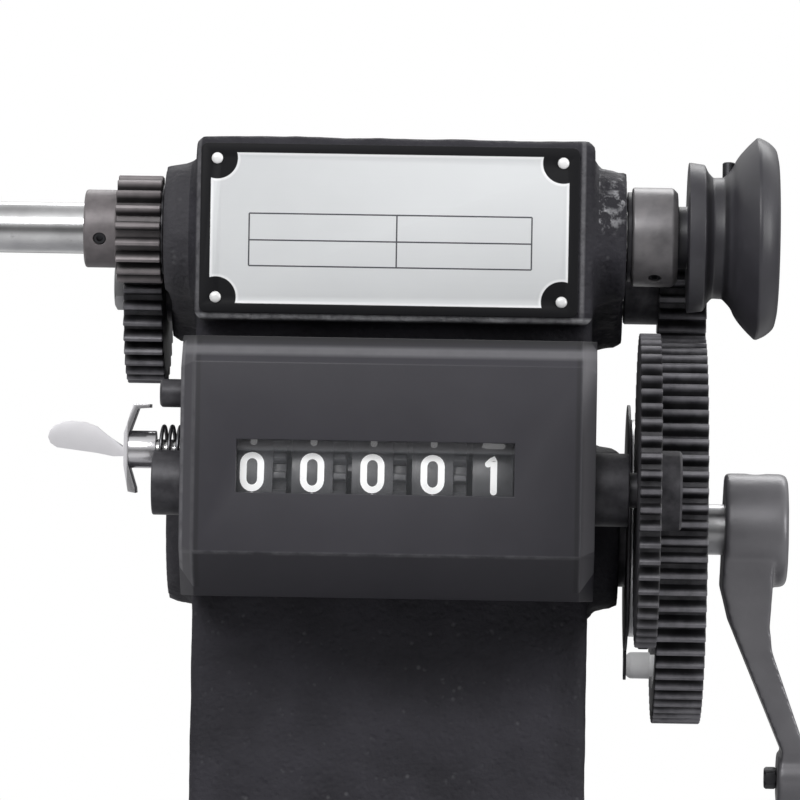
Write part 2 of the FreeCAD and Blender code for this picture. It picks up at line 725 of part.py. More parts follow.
# the layshaft's gear is the first of the train to the left, then the spindle's gear follows it
crank_turn = 0.0
pinion_turn = mesh_turn(crank_turn, CRANK_GEAR_TEETH, STEP_PINION_TEETH,
                        crank.direction_to(layshaft))
layshaft_turn = 0.0
spindle_turn = mesh_turn(layshaft_turn, LAYSHAFT_GEAR_TEETH, STEP_PINION_TEETH,
                         layshaft.direction_to(spindle))
drive_turn = 0.0
counter_turn = mesh_turn(drive_turn, DRIVE_GEAR_TEETH, COUNTER_GEAR_TEETH,
                         crank.direction_to(counter))


def set_screw(name, axis, start, radius, inner, outer, turn):
    """A headless screw in a hub, its end socketed, set at an angle round the shaft."""
    body = turned(name, Axis(ZERO, ZERO), ZERO, [
        (inner, 0), (outer - radius * 0.6, 0), (outer - radius * 0.6, radius * 0.5),
        (outer, radius * 0.5), (outer, radius * 0.85), (outer - radius * 0.15, radius),
        (inner, radius)])
    place(body, start, axis.y, axis.z,
          Rotation(Vector(1, 0, 0), turn).multiply(Rotation(Vector(0, 0, 1), 90)))
    return body


def drill(name, base, axis, x, radius, inner, outer, turn):
    """A radial hole through a hub, for its set screw."""
    rotation = Rotation(Vector(1, 0, 0), turn).multiply(ALONG_Y)
    angle = math.radians(turn)
    tool = cylinder("drill", radius, outer - inner, x, axis.y + inner * math.cos(angle),
                    axis.z + inner * math.sin(angle), rotation)
    return cut(name, base, tool)


def spindle_gear():
    """Small gear with a long hub; the hub's screw faces the front."""
    tip = tip_radius(STEP_PINION_TEETH, s.gear_module)
    bore = s.spindle_radius
    hub, length = s.spindle_hub_radius, s.spindle_hub_length
    outline = blank(tip, s.spindle_gear_width, bore, s.tooth_chamfer,
                    left=[(-length, bore), (-length, hub - 0.5), (-length + 0.5, hub), (0, hub)])
    return gear("gear", spindle, spindle_gear_start, STEP_PINION_TEETH, s.gear_module,
                s.spindle_gear_width, outline, spindle_turn, s.tooth_backlash)


HUB_SCREW_TURN = 197.0
COLLAR_SCREW_TURN = 238.0
PULLEY_SCREW_TURN = 82.0

part("spindle", spindle_shaft())
hub_screw_x = spindle_gear_start - s.spindle_hub_length / 2
part("spindle_gear", drill("spindle_gear", spindle_gear(), spindle, hub_screw_x,
                           s.hub_screw_radius, s.spindle_radius - 1, s.spindle_hub_radius + 1,
                           HUB_SCREW_TURN))
part("spindle_gear_screw", set_screw("screw", spindle, hub_screw_x, s.hub_screw_radius,
                                     s.spindle_radius, s.spindle_hub_radius - 0.5,
                                     HUB_SCREW_TURN))
part("spindle_washers", group("spindle_washers", [
    ring("washer", spindle, x, thickness, s.washer_radius, s.spindle_radius)
    for x, thickness in ((washer_left, s.thin_washer), (washer_right, s.washer_thickness))]))


def collar():
    length, radius, bevel = s.collar_length, s.collar_radius, s.collar_chamfer
    return turned("collar", spindle, collar_start, [
        (0, s.spindle_radius), (length, s.spindle_radius), (length, radius - bevel),
        (length - bevel, radius), (0.4, radius), (0, radius - 0.4)])


collar_screw_x = collar_start + s.collar_length / 2
part("spindle_collar", drill("spindle_collar", collar(), spindle, collar_screw_x,
                             s.hub_screw_radius, s.spindle_radius - 1, s.collar_radius + 1,
                             COLLAR_SCREW_TURN))
part("spindle_collar_screw", set_screw("screw", spindle, collar_screw_x, s.hub_screw_radius,
                                       s.spindle_radius, s.collar_radius - 0.4,
                                       COLLAR_SCREW_TURN))


def pulley():
    """Belt pulley and handwheel in one: neck, flange, groove, dish and heavy rim."""
    neck = s.pulley_neck_length
    flange = neck + s.pulley_flange_width
    slope = flange + s.pulley_groove_slope
    groove = slope + s.pulley_groove_width
    dish = groove + s.pulley_dish_width
    end = dish + s.pulley_rim_width
    rim, low, drop = s.pulley_rim_radius, s.pulley_groove_radius, s.pulley_rim_drop
    bore = s.spindle_radius
    return turned("pulley", spindle, pulley_start, [
        (0, bore), (end - s.pulley_recess_depth, bore),
        (end - s.pulley_recess_depth, s.pulley_recess_radius),
        (end, s.pulley_recess_radius + 1.6), (end, rim - drop),
        (dish + s.pulley_rim_width * 0.9, rim - drop * 0.5),
        (dish + s.pulley_rim_width * 0.5, rim - drop * 0.18), (dish, rim),
        (groove + s.pulley_dish_width * 0.72, low + (rim - low) * 0.84),
        (groove + s.pulley_dish_width * 0.42, low + (rim - low) * 0.56),
        (groove + s.pulley_dish_width * 0.2, low + (rim - low) * 0.16), (groove, low),
        (slope, low), (flange, s.pulley_flange_radius - 0.4), (neck, s.pulley_flange_radius),
        (neck, s.pulley_neck_radius), (0, s.pulley_neck_radius)])


pulley_screw_x = (pulley_start + s.pulley_neck_length + s.pulley_flange_width
                  + s.pulley_groove_slope + s.pulley_groove_width + 1.4)
part("drive_pulley", drill("drive_pulley", pulley(), spindle, pulley_screw_x,
                           s.hub_screw_radius, s.spindle_radius - 1,
                           s.pulley_groove_radius + 5, PULLEY_SCREW_TURN))
part("pulley_screw", set_screw("screw", spindle, pulley_screw_x, s.hub_screw_radius,
                               s.spindle_radius, s.pulley_groove_radius + 3.8,
                               PULLEY_SCREW_TURN))

thread_bore = s.thread_radius + s.thread_gap
lock_nut_start = -s.spindle_left + s.thread_length - s.lock_nut_setback - s.lock_nut_thickness
inner_cone_start = lock_nut_start - s.cone_length
outer_cone_start = inner_cone_start - s.cone_spacing - s.cone_length
wing_nut_start = outer_cone_start - s.wing_nut_hub_length


def cone(name, start, side):
    """A turned cone that centres a bobbin; side +1 has its wide flange to the right."""
    length, flange = s.cone_length, s.cone_flange
    wide, narrow = s.cone_large_radius, s.cone_small_radius
    if side > 0:
        outline = [(0, thread_bore), (length, thread_bore), (length, wide),
                   (length - flange, wide), (0, narrow)]
    else:
        outline = [(0, thread_bore), (length, thread_bore), (length, narrow), (flange, wide),
                   (0, wide)]
    return turned(name, spindle, start, outline)


def wing_nut():
    """Hub with two upswept wings, threaded on the spindle's end."""
    length, hub = s.wing_nut_hub_length, s.wing_nut_hub_radius
    core = turned("hub", spindle, wing_nut_start, [
        (0, ZERO), (length, ZERO), (length, hub), (0, hub * 0.8)])
    body = new_body("wings")
    half = s.wing_span / 2
    sketch = polygon(body, "XZ_Plane", [
        (length, -hub * 0.9), (length, hub * 0.9), (length * 0.6, half * 0.7),
        (length - s.wing_height, half), (length * 0.1 - s.wing_height * 0.45, half * 0.98),
        (0, half * 0.45), (0, -half * 0.45), (length * 0.1 - s.wing_height * 0.45, -half * 0.98),
        (length - s.wing_height, -half), (length * 0.6, -half * 0.7)])
    pad(body, sketch, s.wing_thickness, midplane=True)
    place(body, wing_nut_start, spindle.y, spindle.z)
    bore = cylinder("bore", thread_bore, s.wing_height + length, wing_nut_start - s.wing_height,
                    spindle.y, spindle.z, ALONG_X)
    return cut("wing_nut", fuse("wing_nut_solid", [core, body]), bore)


part("cone_lock_nut", hexagon("cone_lock_nut", spindle, lock_nut_start, s.lock_nut_thickness,
                              s.lock_nut_flats, s.thread_radius))
part("inner_cone", cone("inner_cone", inner_cone_start, 1))
part("outer_cone", cone("outer_cone", outer_cone_start, -1))
part("wing_nut", wing_nut())


# ---------------------------------------------------------------------------------------------
# Layshaft: large gear at the left, pinion at the right
# ---------------------------------------------------------------------------------------------
crank_gear_start = s.drive_gear_start + s.drive_gear_width + s.gear_spacing
layshaft_gear_end = -boss_end - 1.4
layshaft_gear_start = layshaft_gear_end - s.layshaft_gear_width
layshaft_left = layshaft_gear_start - s.layshaft_nut_thickness
layshaft_right = crank_gear_start + s.step_gear_width


def layshaft_gear():
    tip = tip_radius(LAYSHAFT_GEAR_TEETH, s.gear_module)
    bore, hub, width = s.layshaft_radius, s.layshaft_gear_hub_radius, s.layshaft_gear_width
    reach = layshaft_gear_end * -1 - boss_end - s.side_gap
    outline = blank(tip, width, bore, s.tooth_chamfer,
                    right=[(width, hub), (width + reach, hub), (width + reach, bore)])
    return gear("gear", layshaft, layshaft_gear_start, LAYSHAFT_GEAR_TEETH, s.gear_module, width,
                outline, layshaft_turn, s.tooth_backlash)


def layshaft_pinion():
    tip = tip_radius(STEP_PINION_TEETH, s.gear_module)
    bore, hub, width = s.layshaft_radius, s.layshaft_hub_radius, s.step_gear_width
    reach = crank_gear_start - boss_end - s.side_gap
    outline = blank(tip, width, bore, s.tooth_chamfer,
                    left=[(-reach, bore), (-reach, hub), (0, hub)])
    return gear("pinion", layshaft, crank_gear_start, STEP_PINION_TEETH, s.gear_module, width,
                outline, pinion_turn, s.tooth_backlash)


part("layshaft", rod("layshaft", layshaft, layshaft_left, layshaft_right - layshaft_left,
                     s.layshaft_radius, 0.6))
part("layshaft_gear", layshaft_gear())
part("layshaft_pinion", layshaft_pinion())
part("layshaft_nut", hexagon("layshaft_nut", layshaft, layshaft_left, s.layshaft_nut_thickness,
                             s.layshaft_nut_flats, s.layshaft_radius))


# ---------------------------------------------------------------------------------------------
# Crank: shaft, large gear, counter drive gear, arm and grip
# ---------------------------------------------------------------------------------------------
crank_hub_end = s.crank_hub_start + s.crank_hub_length
arm_end = s.arm_end_start + s.arm_end_length
grip_nut_start = s.arm_end_start - s.arm_boss_step - s.grip_nut_thickness
grip_axis = Axis(ZERO, crank.z - s.crank_throw)


def crank_gear():
    """Large wheel without spokes: rim, thin web and a hub as wide as the rim."""
    tip = tip_radius(CRANK_GEAR_TEETH, s.gear_module)
    inside = root_radius(CRANK_GEAR_TEETH, s.gear_module) - s.crank_gear_rim
    width, hub, bore = s.step_gear_width, s.crank_gear_hub_radius, s.crank_shaft_radius
    recess = (width - s.crank_gear_web) / 2
    outline = blank(tip, width, bore, s.tooth_chamfer,
                    left=[(0, bore), (0, hub), (recess, hub), (recess, inside), (0, inside)],
                    right=[(width, inside), (width - recess, inside), (width - recess, hub),
                           (width, hub), (width, bore)])
    return gear("gear", crank, crank_gear_start, CRANK_GEAR_TEETH, s.gear_module, width, outline,
                crank_turn, s.tooth_backlash)


def counter_drive_gear():
    """Gear with a plain drum at its left."""
    tip = tip_radius(DRIVE_GEAR_TEETH, s.gear_module)
    bore, drum, hub = s.crank_shaft_radius, s.drive_drum_length, s.drive_hub_radius
    width = s.drive_gear_width - drum
    outline = blank(tip, width, bore, s.tooth_chamfer,
                    left=[(-drum, bore), (-drum, s.drive_drum_radius), (0, s.drive_drum_radius)],
                    right=[(width, hub), (width + s.gear_spacing, hub),
                           (width + s.gear_spacing, bore)])
    return gear("gear", crank, s.drive_gear_start + drum, DRIVE_GEAR_TEETH, s.gear_module, width,
                outline, drive_turn, s.tooth_backlash)


def brake_spring():
    """Round spring plate on a packing ring, screwed to the right boss; a tongue hangs below."""
    half, thick, packing = s.brake_tongue_width / 2, s.brake_spring_thickness, s.brake_packing
    start = boss_end + packing
    tongue = new_body("tongue")
    pad(tongue, polygon(tongue, "YZ_Plane", [
        (-half, brake.z), (half, brake.z), (half, crank.z), (-half, crank.z)]), thick)
    place(tongue, start, ZERO, ZERO)
    end = cylinder("tongue_end", half, thick, start, brake.y, brake.z, ALONG_X)
    plate = cylinder("plate", s.brake_spring_radius, thick, start, crank.y, crank.z, ALONG_X)
    ring_below = cylinder("packing", s.brake_packing_radius, packing, boss_end, crank.y, crank.z,
                          ALONG_X)
    bore = cylinder("bore", s.brake_spring_bore, 2 * (packing + thick), boss_end - packing,
                    crank.y, crank.z, ALONG_X)
    hole = cylinder("hole", s.brake_shank, 2 * thick, start - thick / 2, brake.y, brake.z,
                    ALONG_X)
    tools = [bore, hole] + [brake_screw("seat", side) for side in (-1, 1)]
    return cut("brake_spring", fuse("spring_solid", [tongue, end, plate, ring_below]),
               fuse("spring_holes", tools))


def brake_button():
    """Steel button riveted into the spring's tongue, with a felt pad that rubs on the web."""
    start, thick = boss_end + s.brake_packing, s.brake_spring_thickness
    head, shank, length = s.brake_radius, s.brake_shank, thick + s.brake_length
    web = crank_gear_start - start + (s.step_gear_width - s.crank_gear_web) / 2 - 0.2
    return turned("brake_button", brake, start, [
        (0, 0), (web, 0), (web, s.brake_pad_radius), (length, s.brake_pad_radius),
        (length, head), (thick + 0.8, head), (thick, head - 0.8), (thick, shank), (0, shank)])


def crank_arm():
    """Cast arm: a hub on the shaft, a cranked taper and a boss for the grip."""
    drop, thick = s.arm_root_drop, s.arm_thickness
    hub, throw = s.crank_hub_radius, s.crank_throw
    start, end_start = s.crank_hub_start, s.arm_end_start
    side = new_body("arm_side")
    outline = polygon(side, "XZ_Plane", [
        (start, crank.z), (start - 0.5, crank.z - hub), (start + 1.5, crank.z - drop),
        (end_start, crank.z - throw + s.arm_end_radius), (end_start, crank.z - throw),
        (end_start + thick, crank.z - throw), (end_start + thick, crank.z - throw + 9),
        (start + 11.6, crank.z - drop - 6.8), (start + 10.9, crank.z - drop - 1),
        (start + 11.4, crank.z - hub), (start + 11.4, crank.z)])
    pad(side, outline, 2 * hub, midplane=True)
    front = new_body("arm_front")
    half_hub, half_end = s.arm_hub_width / 2, s.arm_end_width / 2
    taper = polygon(front, "YZ_Plane", [
        (half_hub, crank.z), (half_hub * 0.94, crank.z - drop * 0.7),
        (half_end, crank.z - throw + 6), (half_end, crank.z - throw),
        (-half_end, crank.z - throw), (-half_end, crank.z - throw + 6),
        (-half_hub * 0.94, crank.z - drop * 0.7), (-half_hub, crank.z)])
    pad(front, taper, end_start + 2 * thick)
    arm = doc.addObject("Part::MultiCommon", "arm")
    arm.Shapes = [side, front]
    length, round_edge = s.crank_hub_length, 1.6
    big = turned("hub", crank, start, [
        (0, 0), (length, 0), (length, hub - round_edge), (length - 0.5, hub - 0.5),
        (length - round_edge, hub), (0.6, hub), (0, hub - 0.6)])
    small_length, small = s.arm_end_length + s.arm_boss_step, s.arm_end_radius
    small_boss = turned("end_boss", grip_axis, end_start - s.arm_boss_step, [
        (0, 0), (small_length, 0), (small_length, small - 0.6), (small_length - 0.6, small),
        (0.6, small), (0, small - 0.6)])
    bores = [cylinder("bore", s.crank_shaft_radius, length * 2, start - length / 2, crank.y, crank.z,
                      ALONG_X),
             cylinder("bore", s.grip_tail_radius, 2 * small_length, end_start - small_length / 2,
                      grip_axis.y, grip_axis.z, ALONG_X)]
    return cut("crank_arm", fuse("arm_solid", [arm, big, small_boss]), fuse("arm_bores", bores))


def grip_bolt():
    """Shouldered bolt that the grip turns on, with a slotted head and a thin threaded tail."""
    tail = s.arm_end_length + s.arm_boss_step + s.grip_nut_thickness
    body_end = tail + s.grip_length + 2 * s.side_gap
    end = body_end + s.grip_head_thickness
    thin, thick, head = s.grip_tail_radius, s.grip_bolt_radius, s.grip_head_radius
    return turned("grip_bolt", grip_axis, grip_nut_start, [
        (0, 0), (end, 0), (end, head - 0.8), (end - 0.8, head), (body_end, head),
        (body_end, thick), (tail, thick), (tail, thin), (0.4, thin), (0, thin - 0.4)])


def crank_grip():
    """Turned plastic grip, waisted towards the arm and rounded at its end."""
    length, radius, neck = s.grip_length, s.grip_radius, s.grip_neck_radius
    bore = s.grip_bolt_radius + s.running_gap
    return turned("crank_grip", grip_axis, arm_end + s.side_gap, [
        (0, bore), (length, bore), (length, radius * 0.72), (length * 0.97, radius * 0.88),
        (length * 0.9, radius), (length * 0.72, radius * 1.0), (length * 0.45, radius * 0.93),
        (length * 0.2, neck * 1.06), (length * 0.08, neck * 0.96), (length * 0.03, neck),
        (0, neck * 0.9)])


CRANK_SCREW_TURN = 90.0
part("crank_shaft", rod("crank_shaft", crank, -boss_end + 0.4, crank_hub_end + boss_end - 0.8,
                        s.crank_shaft_radius, 0.6))
part("crank_gear", crank_gear())
part("counter_drive_gear", counter_drive_gear())
part("brake_spring", brake_spring())
part("brake_button", brake_button())
part("brake_screws", group("brake_screws", [brake_screw("screw", side) for side in (-1, 1)]))
part("crank_shaft_collar", ring("crank_shaft_collar", crank,
                                half_width - s.casting_wall - s.crank_collar_length - 3,
                                s.crank_collar_length, s.crank_collar_radius,
                                s.crank_shaft_radius))
crank_screw_x = s.crank_hub_start + s.crank_hub_length / 2
part("crank_arm", drill("crank_arm", crank_arm(), crank, crank_screw_x, s.hub_screw_radius,
                        s.crank_shaft_radius - 1, s.crank_hub_radius + 1, CRANK_SCREW_TURN))
part("crank_arm_screw", set_screw("screw", crank, crank_screw_x, s.hub_screw_radius,
                                  s.crank_shaft_radius, s.crank_hub_radius - 0.4,
                                  CRANK_SCREW_TURN))
part("grip_bolt", grip_bolt())
part("grip_nut", hexagon("grip_nut", grip_axis, grip_nut_start, s.grip_nut_thickness,
                         s.grip_nut_flats, s.grip_tail_radius))
part("crank_grip", crank_grip())


# ---------------------------------------------------------------------------------------------
# Counter housing: pressed cover, window pane and the chassis inside
# ---------------------------------------------------------------------------------------------
cover_half = s.cover_width / 2
chassis_half = s.chassis_width / 2


def box_section(inset, back):
    """The cover's section across the spindle line, all its walls moved in by an inset."""
    front, top, bottom = -s.cover_front + inset, s.cover_top - inset, s.cover_bottom + inset
    upper = s.cover_bevel - inset * 0.586
    lower = s.cover_lower_bevel - inset * 0.586
    return [(back, bottom), (back, top), (front + upper, top), (front, top - upper),
            (front, bottom + lower), (front + lower, bottom)]


def cover_block(name, inset, back, bevel):
    body = new_body(name)
    half = cover_half - inset
    block = pad(body, polygon(body, "YZ_Plane", box_section(inset, back)), 2 * half,
                midplane=True)
    front_limit = -s.cover_front.value + s.cover_lower_bevel.value + 0.01
    dress(body, block, "Chamfer", bevel, lambda edge: (
        (lies(edge, X=half.value) or lies(edge, X=-half.value))
        and edge.BoundBox.YMax < front_limit))
    return body


def counter_cover():
    outside = cover_block("cover_outside", ZERO, -s.column_front, s.cover_side_bevel)
    inside = cover_block("cover_inside", s.cover_wall, -s.column_front + 2,
                         s.cover_side_bevel - s.cover_wall * 0.586)
    window = new_body("window")
    left, right = -s.window_left, s.window_right
    bottom, top = s.window_bottom, s.window_bottom + s.window_height
    pad(window, polygon(window, "XZ_Plane", [(left, bottom), (right, bottom), (right, top),
                                             (left, top)]), s.cover_front + 1)
    holes = [cylinder("hole", radius, s.cover_wall + 2, start, y, z, ALONG_X)
             for radius, start, y, z in (
                 (s.left_bush_radius, -cover_half - 1, counter.y, counter.z),
                 (s.right_bush_radius, cover_half - s.cover_wall - 1, counter.y, counter.z),
                 (s.stop_pin_radius, -cover_half - 1, stop_pin_axis.y, stop_pin_axis.z),
                 (s.reset_bush_radius, -cover_half - 1, reset.y, reset.z))]
    return cut("counter_cover", outside, fuse("cover_spaces", [inside, window] + holes))


def counter_window():
    """Clear pane behind the cover's opening."""
    body = new_body("counter_window")
    margin = s.pane_margin
    left, right = -s.window_left - margin, s.window_right + margin
    bottom, top = s.window_bottom - margin, s.window_bottom + s.window_height + margin
    pad(body, polygon(body, "XZ_Plane", [(left, bottom), (right, bottom), (right, top),
                                         (left, top)]), s.pane_thickness, reverse=True)
    place(body, ZERO, -s.cover_front + s.cover_wall, ZERO)
    return body


def counter_chassis():
    """Bent sheet: a back plate on the casting and an end plate at each side."""
    body = new_body("chassis_sheet")
    wall = s.chassis_wall
    back, front = -s.column_front, -s.chassis_front
    pad(body, polygon(body, "XY_Plane", [
        (-chassis_half, back), (chassis_half, back), (chassis_half, front),
        (chassis_half - wall, front), (chassis_half - wall, back - wall),
        (-chassis_half + wall, back - wall), (-chassis_half + wall, front),
        (-chassis_half, front)]), s.chassis_height)
    place(body, ZERO, ZERO, s.chassis_bottom)
    left, right = -chassis_half - 1, chassis_half - wall - 1
    holes = [cylinder("hole", radius, wall + 2, start, axis.y, axis.z, ALONG_X)
             for radius, start, axis in (
                 (s.left_bush_radius, left, counter), (s.right_bush_radius, right, counter),
                 (s.carry_shaft_radius, left, carry), (s.carry_shaft_radius, right, carry),
                 (s.reset_bush_radius, left, reset))]
    holes += [cylinder("hole", s.counter_screw_radius, wall + 2, x, back - wall - 1, z, ALONG_Y)
              for x, z in counter_screw_places()]
    return cut("counter_chassis", body, fuse("chassis_holes", holes))


def counter_screw(x, z):
    """Round-headed screw that holds the chassis to the casting."""
    head, height, shank = s.counter_screw_head, s.counter_screw_head_height, s.counter_screw_radius
    body = turned("screw", Axis(ZERO, ZERO), ZERO, [
        (0, 0), (s.counter_screw_length, 0), (s.counter_screw_length, shank), (0, shank),
        (0, head), (-height * 0.5, head * 0.9), (-height, head * 0.5), (-height, 0)])
    place(body, x, -s.column_front - s.chassis_wall, z, Rotation(Vector(0, 0, 1), 90))
    return body


stop_pin_axis = Axis(counter.y - s.stop_pin_forward, counter.z + s.stop_pin_rise)
part("counter_cover", counter_cover())
part("counter_window", counter_window())
part("counter_chassis", counter_chassis())
part("counter_screws", group("counter_screws", [counter_screw(x, z)
                                                for x, z in counter_screw_places()]))
bush_inner = chassis_half - s.chassis_wall
part("counter_bushes", group("counter_bushes", [
    ring("bush", counter, -cover_half - s.left_bush_reach,
         cover_half + s.left_bush_reach - bush_inner, s.left_bush_radius,
         s.counter_shaft_radius + s.running_gap),
    ring("bush", counter, bush_inner, cover_half + s.right_bush_reach - bush_inner,
         s.right_bush_radius, s.counter_shaft_radius + s.running_gap)]))
part("counter_stop_pin", rod("counter_stop_pin", stop_pin_axis, -cover_half - s.stop_pin_reach,
                             cover_half + s.stop_pin_reach - chassis_half, s.stop_pin_radius, 0.5))


# ---------------------------------------------------------------------------------------------
# Counter works: shaft, gear, five number wheels and the carry pinions between them
# ---------------------------------------------------------------------------------------------
wheel_turn = 90.0
carry_turn = mesh_turn(wheel_turn, WHEEL_GEAR_TEETH, CARRY_PINION_TEETH, counter.direction_to(carry))


def wheel_x(number):
    """Left face of a number wheel; number 1, the units, stands at the right."""
    centre = s.wheel_centre_x + s.wheel_pitch * ((WHEEL_COUNT + 1) / 2 - number)
    return centre - s.wheel_width / 2


def wheel_drum(number, bore):
    width, rim = s.wheel_width, s.wheel_radius - s.wheel_rim
    side = (width - s.wheel_web) / 2
    hub = s.wheel_hub_radius
    return turned("drum", counter, wheel_x(number), [
        (0, bore), (width, bore), (width, hub), (width - side, hub), (width - side, rim),
        (width, rim), (width, s.wheel_radius), (0, s.wheel_radius), (0, rim), (side, rim),
        (side, hub), (0, hub)])


def carry_ring(number, bore):
    """The gear on a wheel's right face that its carry pinion turns."""
    tip = tip_radius(WHEEL_GEAR_TEETH, s.carry_module, 0.6)
    width, hub = s.carry_gear_width, s.wheel_hub_radius
    reach = s.wheel_pitch - s.wheel_width - s.side_gap
    outline = blank(tip, width, bore, 0.2 * s.carry_module,
                    right=[(width, hub), (reach, hub), (reach, bore)])
    return gear("ring", counter, wheel_x(number) + s.wheel_width, WHEEL_GEAR_TEETH,
                s.carry_module, width, outline, wheel_turn, s.carry_backlash,
                addendum=0.6, dedendum=1.0)


def carry_lug(number):
    """The lug on a wheel's left face, which stands ready to turn the pinion once a turn."""
    body = new_body("lug")
    depth = s.wheel_pitch - s.wheel_width - s.carry_gear_width - s.side_gap
    inner, outer, half = s.carry_lug_inner, s.carry_lug_outer, s.carry_lug_width / 2
    pad(body, polygon(body, "YZ_Plane", [(inner, -half), (outer, -half * 0.6),
                                         (outer, half * 0.6), (inner, half)]),
        depth + (s.wheel_width - s.wheel_web) / 2)
    place(body, wheel_x(number) - depth, counter.y, counter.z,
          Rotation(Vector(1, 0, 0), LUG_TURNS[number - 1]))
    return body


LUG_TURNS = (40.0, 235.0, 160.0, 310.0)
for number in range(1, WHEEL_COUNT + 1):
    bore = s.counter_shaft_radius + (s.running_gap if number > 1 else 0)
    pieces = [wheel_drum(number, bore)]
    if number > 1:
        pieces.append(carry_ring(number, bore))
    if number < WHEEL_COUNT:
        pieces.append(carry_lug(number))
    part("number_wheel_%d" % number, fuse("number_wheel_%d" % number, pieces))

pinion_tip = tip_radius(CARRY_PINION_TEETH, s.carry_module, 0.75)
for number in range(1, WHEEL_COUNT):
    start = wheel_x(number) - s.side_gap - s.carry_pinion_width
    outline = blank(pinion_tip, s.carry_pinion_width, s.carry_shaft_radius + s.running_gap,
                    0.2 * s.carry_module)
    part("carry_pinion_%d" % number, gear(
        "carry_pinion", carry, start, CARRY_PINION_TEETH, s.carry_module, s.carry_pinion_width,
        outline, carry_turn, s.carry_backlash, addendum=0.75, dedendum=0.95))

part("carry_shaft", rod("carry_shaft", carry, -chassis_half, s.chassis_width,
                        s.carry_shaft_radius, 0.2))
counter_end = s.counter_gear_start + s.counter_gear_width + s.counter_hub_length
part("counter_shaft", rod("counter_shaft", counter, -cover_half - s.left_bush_reach + 0.8,
                          cover_half + s.left_bush_reach - 0.8 + counter_end,
                          s.counter_shaft_radius, 0.5))


def counter_gear():
    tip = tip_radius(COUNTER_GEAR_TEETH, s.gear_module)
    width, bore, hub = s.counter_gear_width, s.counter_shaft_radius, s.counter_hub_radius
    end = width + s.counter_hub_length
    outline = blank(tip, width, bore, s.tooth_chamfer,
                    right=[(width, hub), (end - 0.5, hub), (end, hub - 0.5), (end, bore)])
    return gear("gear", counter, s.counter_gear_start, COUNTER_GEAR_TEETH, s.gear_module, width,
                outline, counter_turn, s.tooth_backlash)


COUNTER_SCREW_TURN = 60.0
counter_screw_x = s.counter_gear_start + s.counter_gear_width + s.counter_hub_length / 2
part("counter_gear", drill("counter_gear", counter_gear(), counter, counter_screw_x,
                           s.hub_screw_radius, s.counter_shaft_radius - 1,
                           s.counter_hub_radius + 1, COUNTER_SCREW_TURN))
part("counter_gear_screw", set_screw("screw", counter, counter_screw_x, s.hub_screw_radius,
                                     s.counter_shaft_radius, s.counter_hub_radius - 0.4,
                                     COUNTER_SCREW_TURN))


# ---------------------------------------------------------------------------------------------
# Zero setting: wing on a short shaft, friction spring and a pair of gears
# ---------------------------------------------------------------------------------------------
reset_gear_start = -bush_inner + s.reset_gear_gap
reset_hub_right = -cover_half - s.reset_hub_start
reset_hub_left = reset_hub_right - s.reset_hub_length
reset_pinion_turn = mesh_turn(0.0, RESET_GEAR_TEETH, RESET_PINION_TEETH,
                              counter.direction_to(reset))


def reset_wheel(name, axis, teeth, bore, turn):
    outline = blank(tip_radius(teeth, s.reset_module, 0.9), s.reset_gear_width, bore,
                    0.25 * s.reset_module)
    return gear(name, axis, reset_gear_start, teeth, s.reset_module, s.reset_gear_width, outline,
                turn, s.reset_backlash, addendum=0.9, dedendum=1.15)


def reset_spring():
    """Open coil between the cover and the wing's hub; it keeps the wing from turning by itself."""
    body = new_body("reset_spring")
    wire = s.spring_wire
    sketch = circles(body, "XZ_Plane", [(0, s.spring_radius, wire)])
    coil = body.newObject("PartDesign::AdditiveHelix", "Coil")
    coil.Profile = sketch
    coil.ReferenceAxis = (sketch, ["H_Axis"])
    coil.Mode = 0
    bind(coil, Pitch=s.spring_pitch, Height=s.reset_hub_start - 2 * wire - s.side_gap)
    place(body, reset_hub_right + wire + s.side_gap, reset.y, reset.z)
    return body


def reset_wing():
    """Hub, a bowed strap across it and a thumb leaf that stands out to the left."""
    hub = turned("hub", reset, reset_hub_left, [
        (0, 0), (s.reset_hub_length, 0), (s.reset_hub_length, s.reset_hub_radius),
        (0, s.reset_hub_radius)])
    thick, reach = s.strap_thickness, s.strap_reach
    strap = new_body("strap")
    pad(strap, polygon(strap, "XZ_Plane", [
        (-thick, -reach * 0.35), (0, -reach * 0.93), (thick * 1.6, -reach * 0.96),
        (thick * 1.5, -reach * 0.84), (0, -reach * 0.33), (0, reach * 0.33),
        (thick * 1.9, reach * 0.9), (thick * 4.4, reach * 0.92), (thick * 4.4, reach),
        (thick * 0.9, reach), (-thick, reach * 0.35)]), s.strap_width, midplane=True)
    place(strap, reset_hub_left, reset.y, reset.z)
    leaf = new_body("leaf")
    length, width = s.leaf_reach, s.leaf_width
    pad(leaf, polygon(leaf, "XZ_Plane", [
        (-thick * 0.5, -width * 0.2), (-length * 0.2, -width * 0.21),
        (-length * 0.4, -width * 0.12), (-length * 0.68, -width * 0.04),
        (-length * 0.89, width * 0.02), (-length * 0.97, width * 0.14), (-length, width * 0.31),
        (-length * 0.98, width * 0.5), (-length * 0.925, width * 0.64),
        (-length * 0.83, width * 0.75), (-length * 0.717, width * 0.79),
        (-length * 0.545, width * 0.76), (-length * 0.406, width * 0.64),
        (-length * 0.262, width * 0.375), (-thick * 0.5, width * 0.02)]), thick, midplane=True)
    place(leaf, reset_hub_left, reset.y, reset.z)
    bore = cylinder("bore", s.reset_shaft_radius, s.reset_hub_length, reset_hub_left + 0.6,
                    reset.y, reset.z, ALONG_X)
    return cut("reset_wing", fuse("wing_solid", [hub, strap, leaf]), bore)


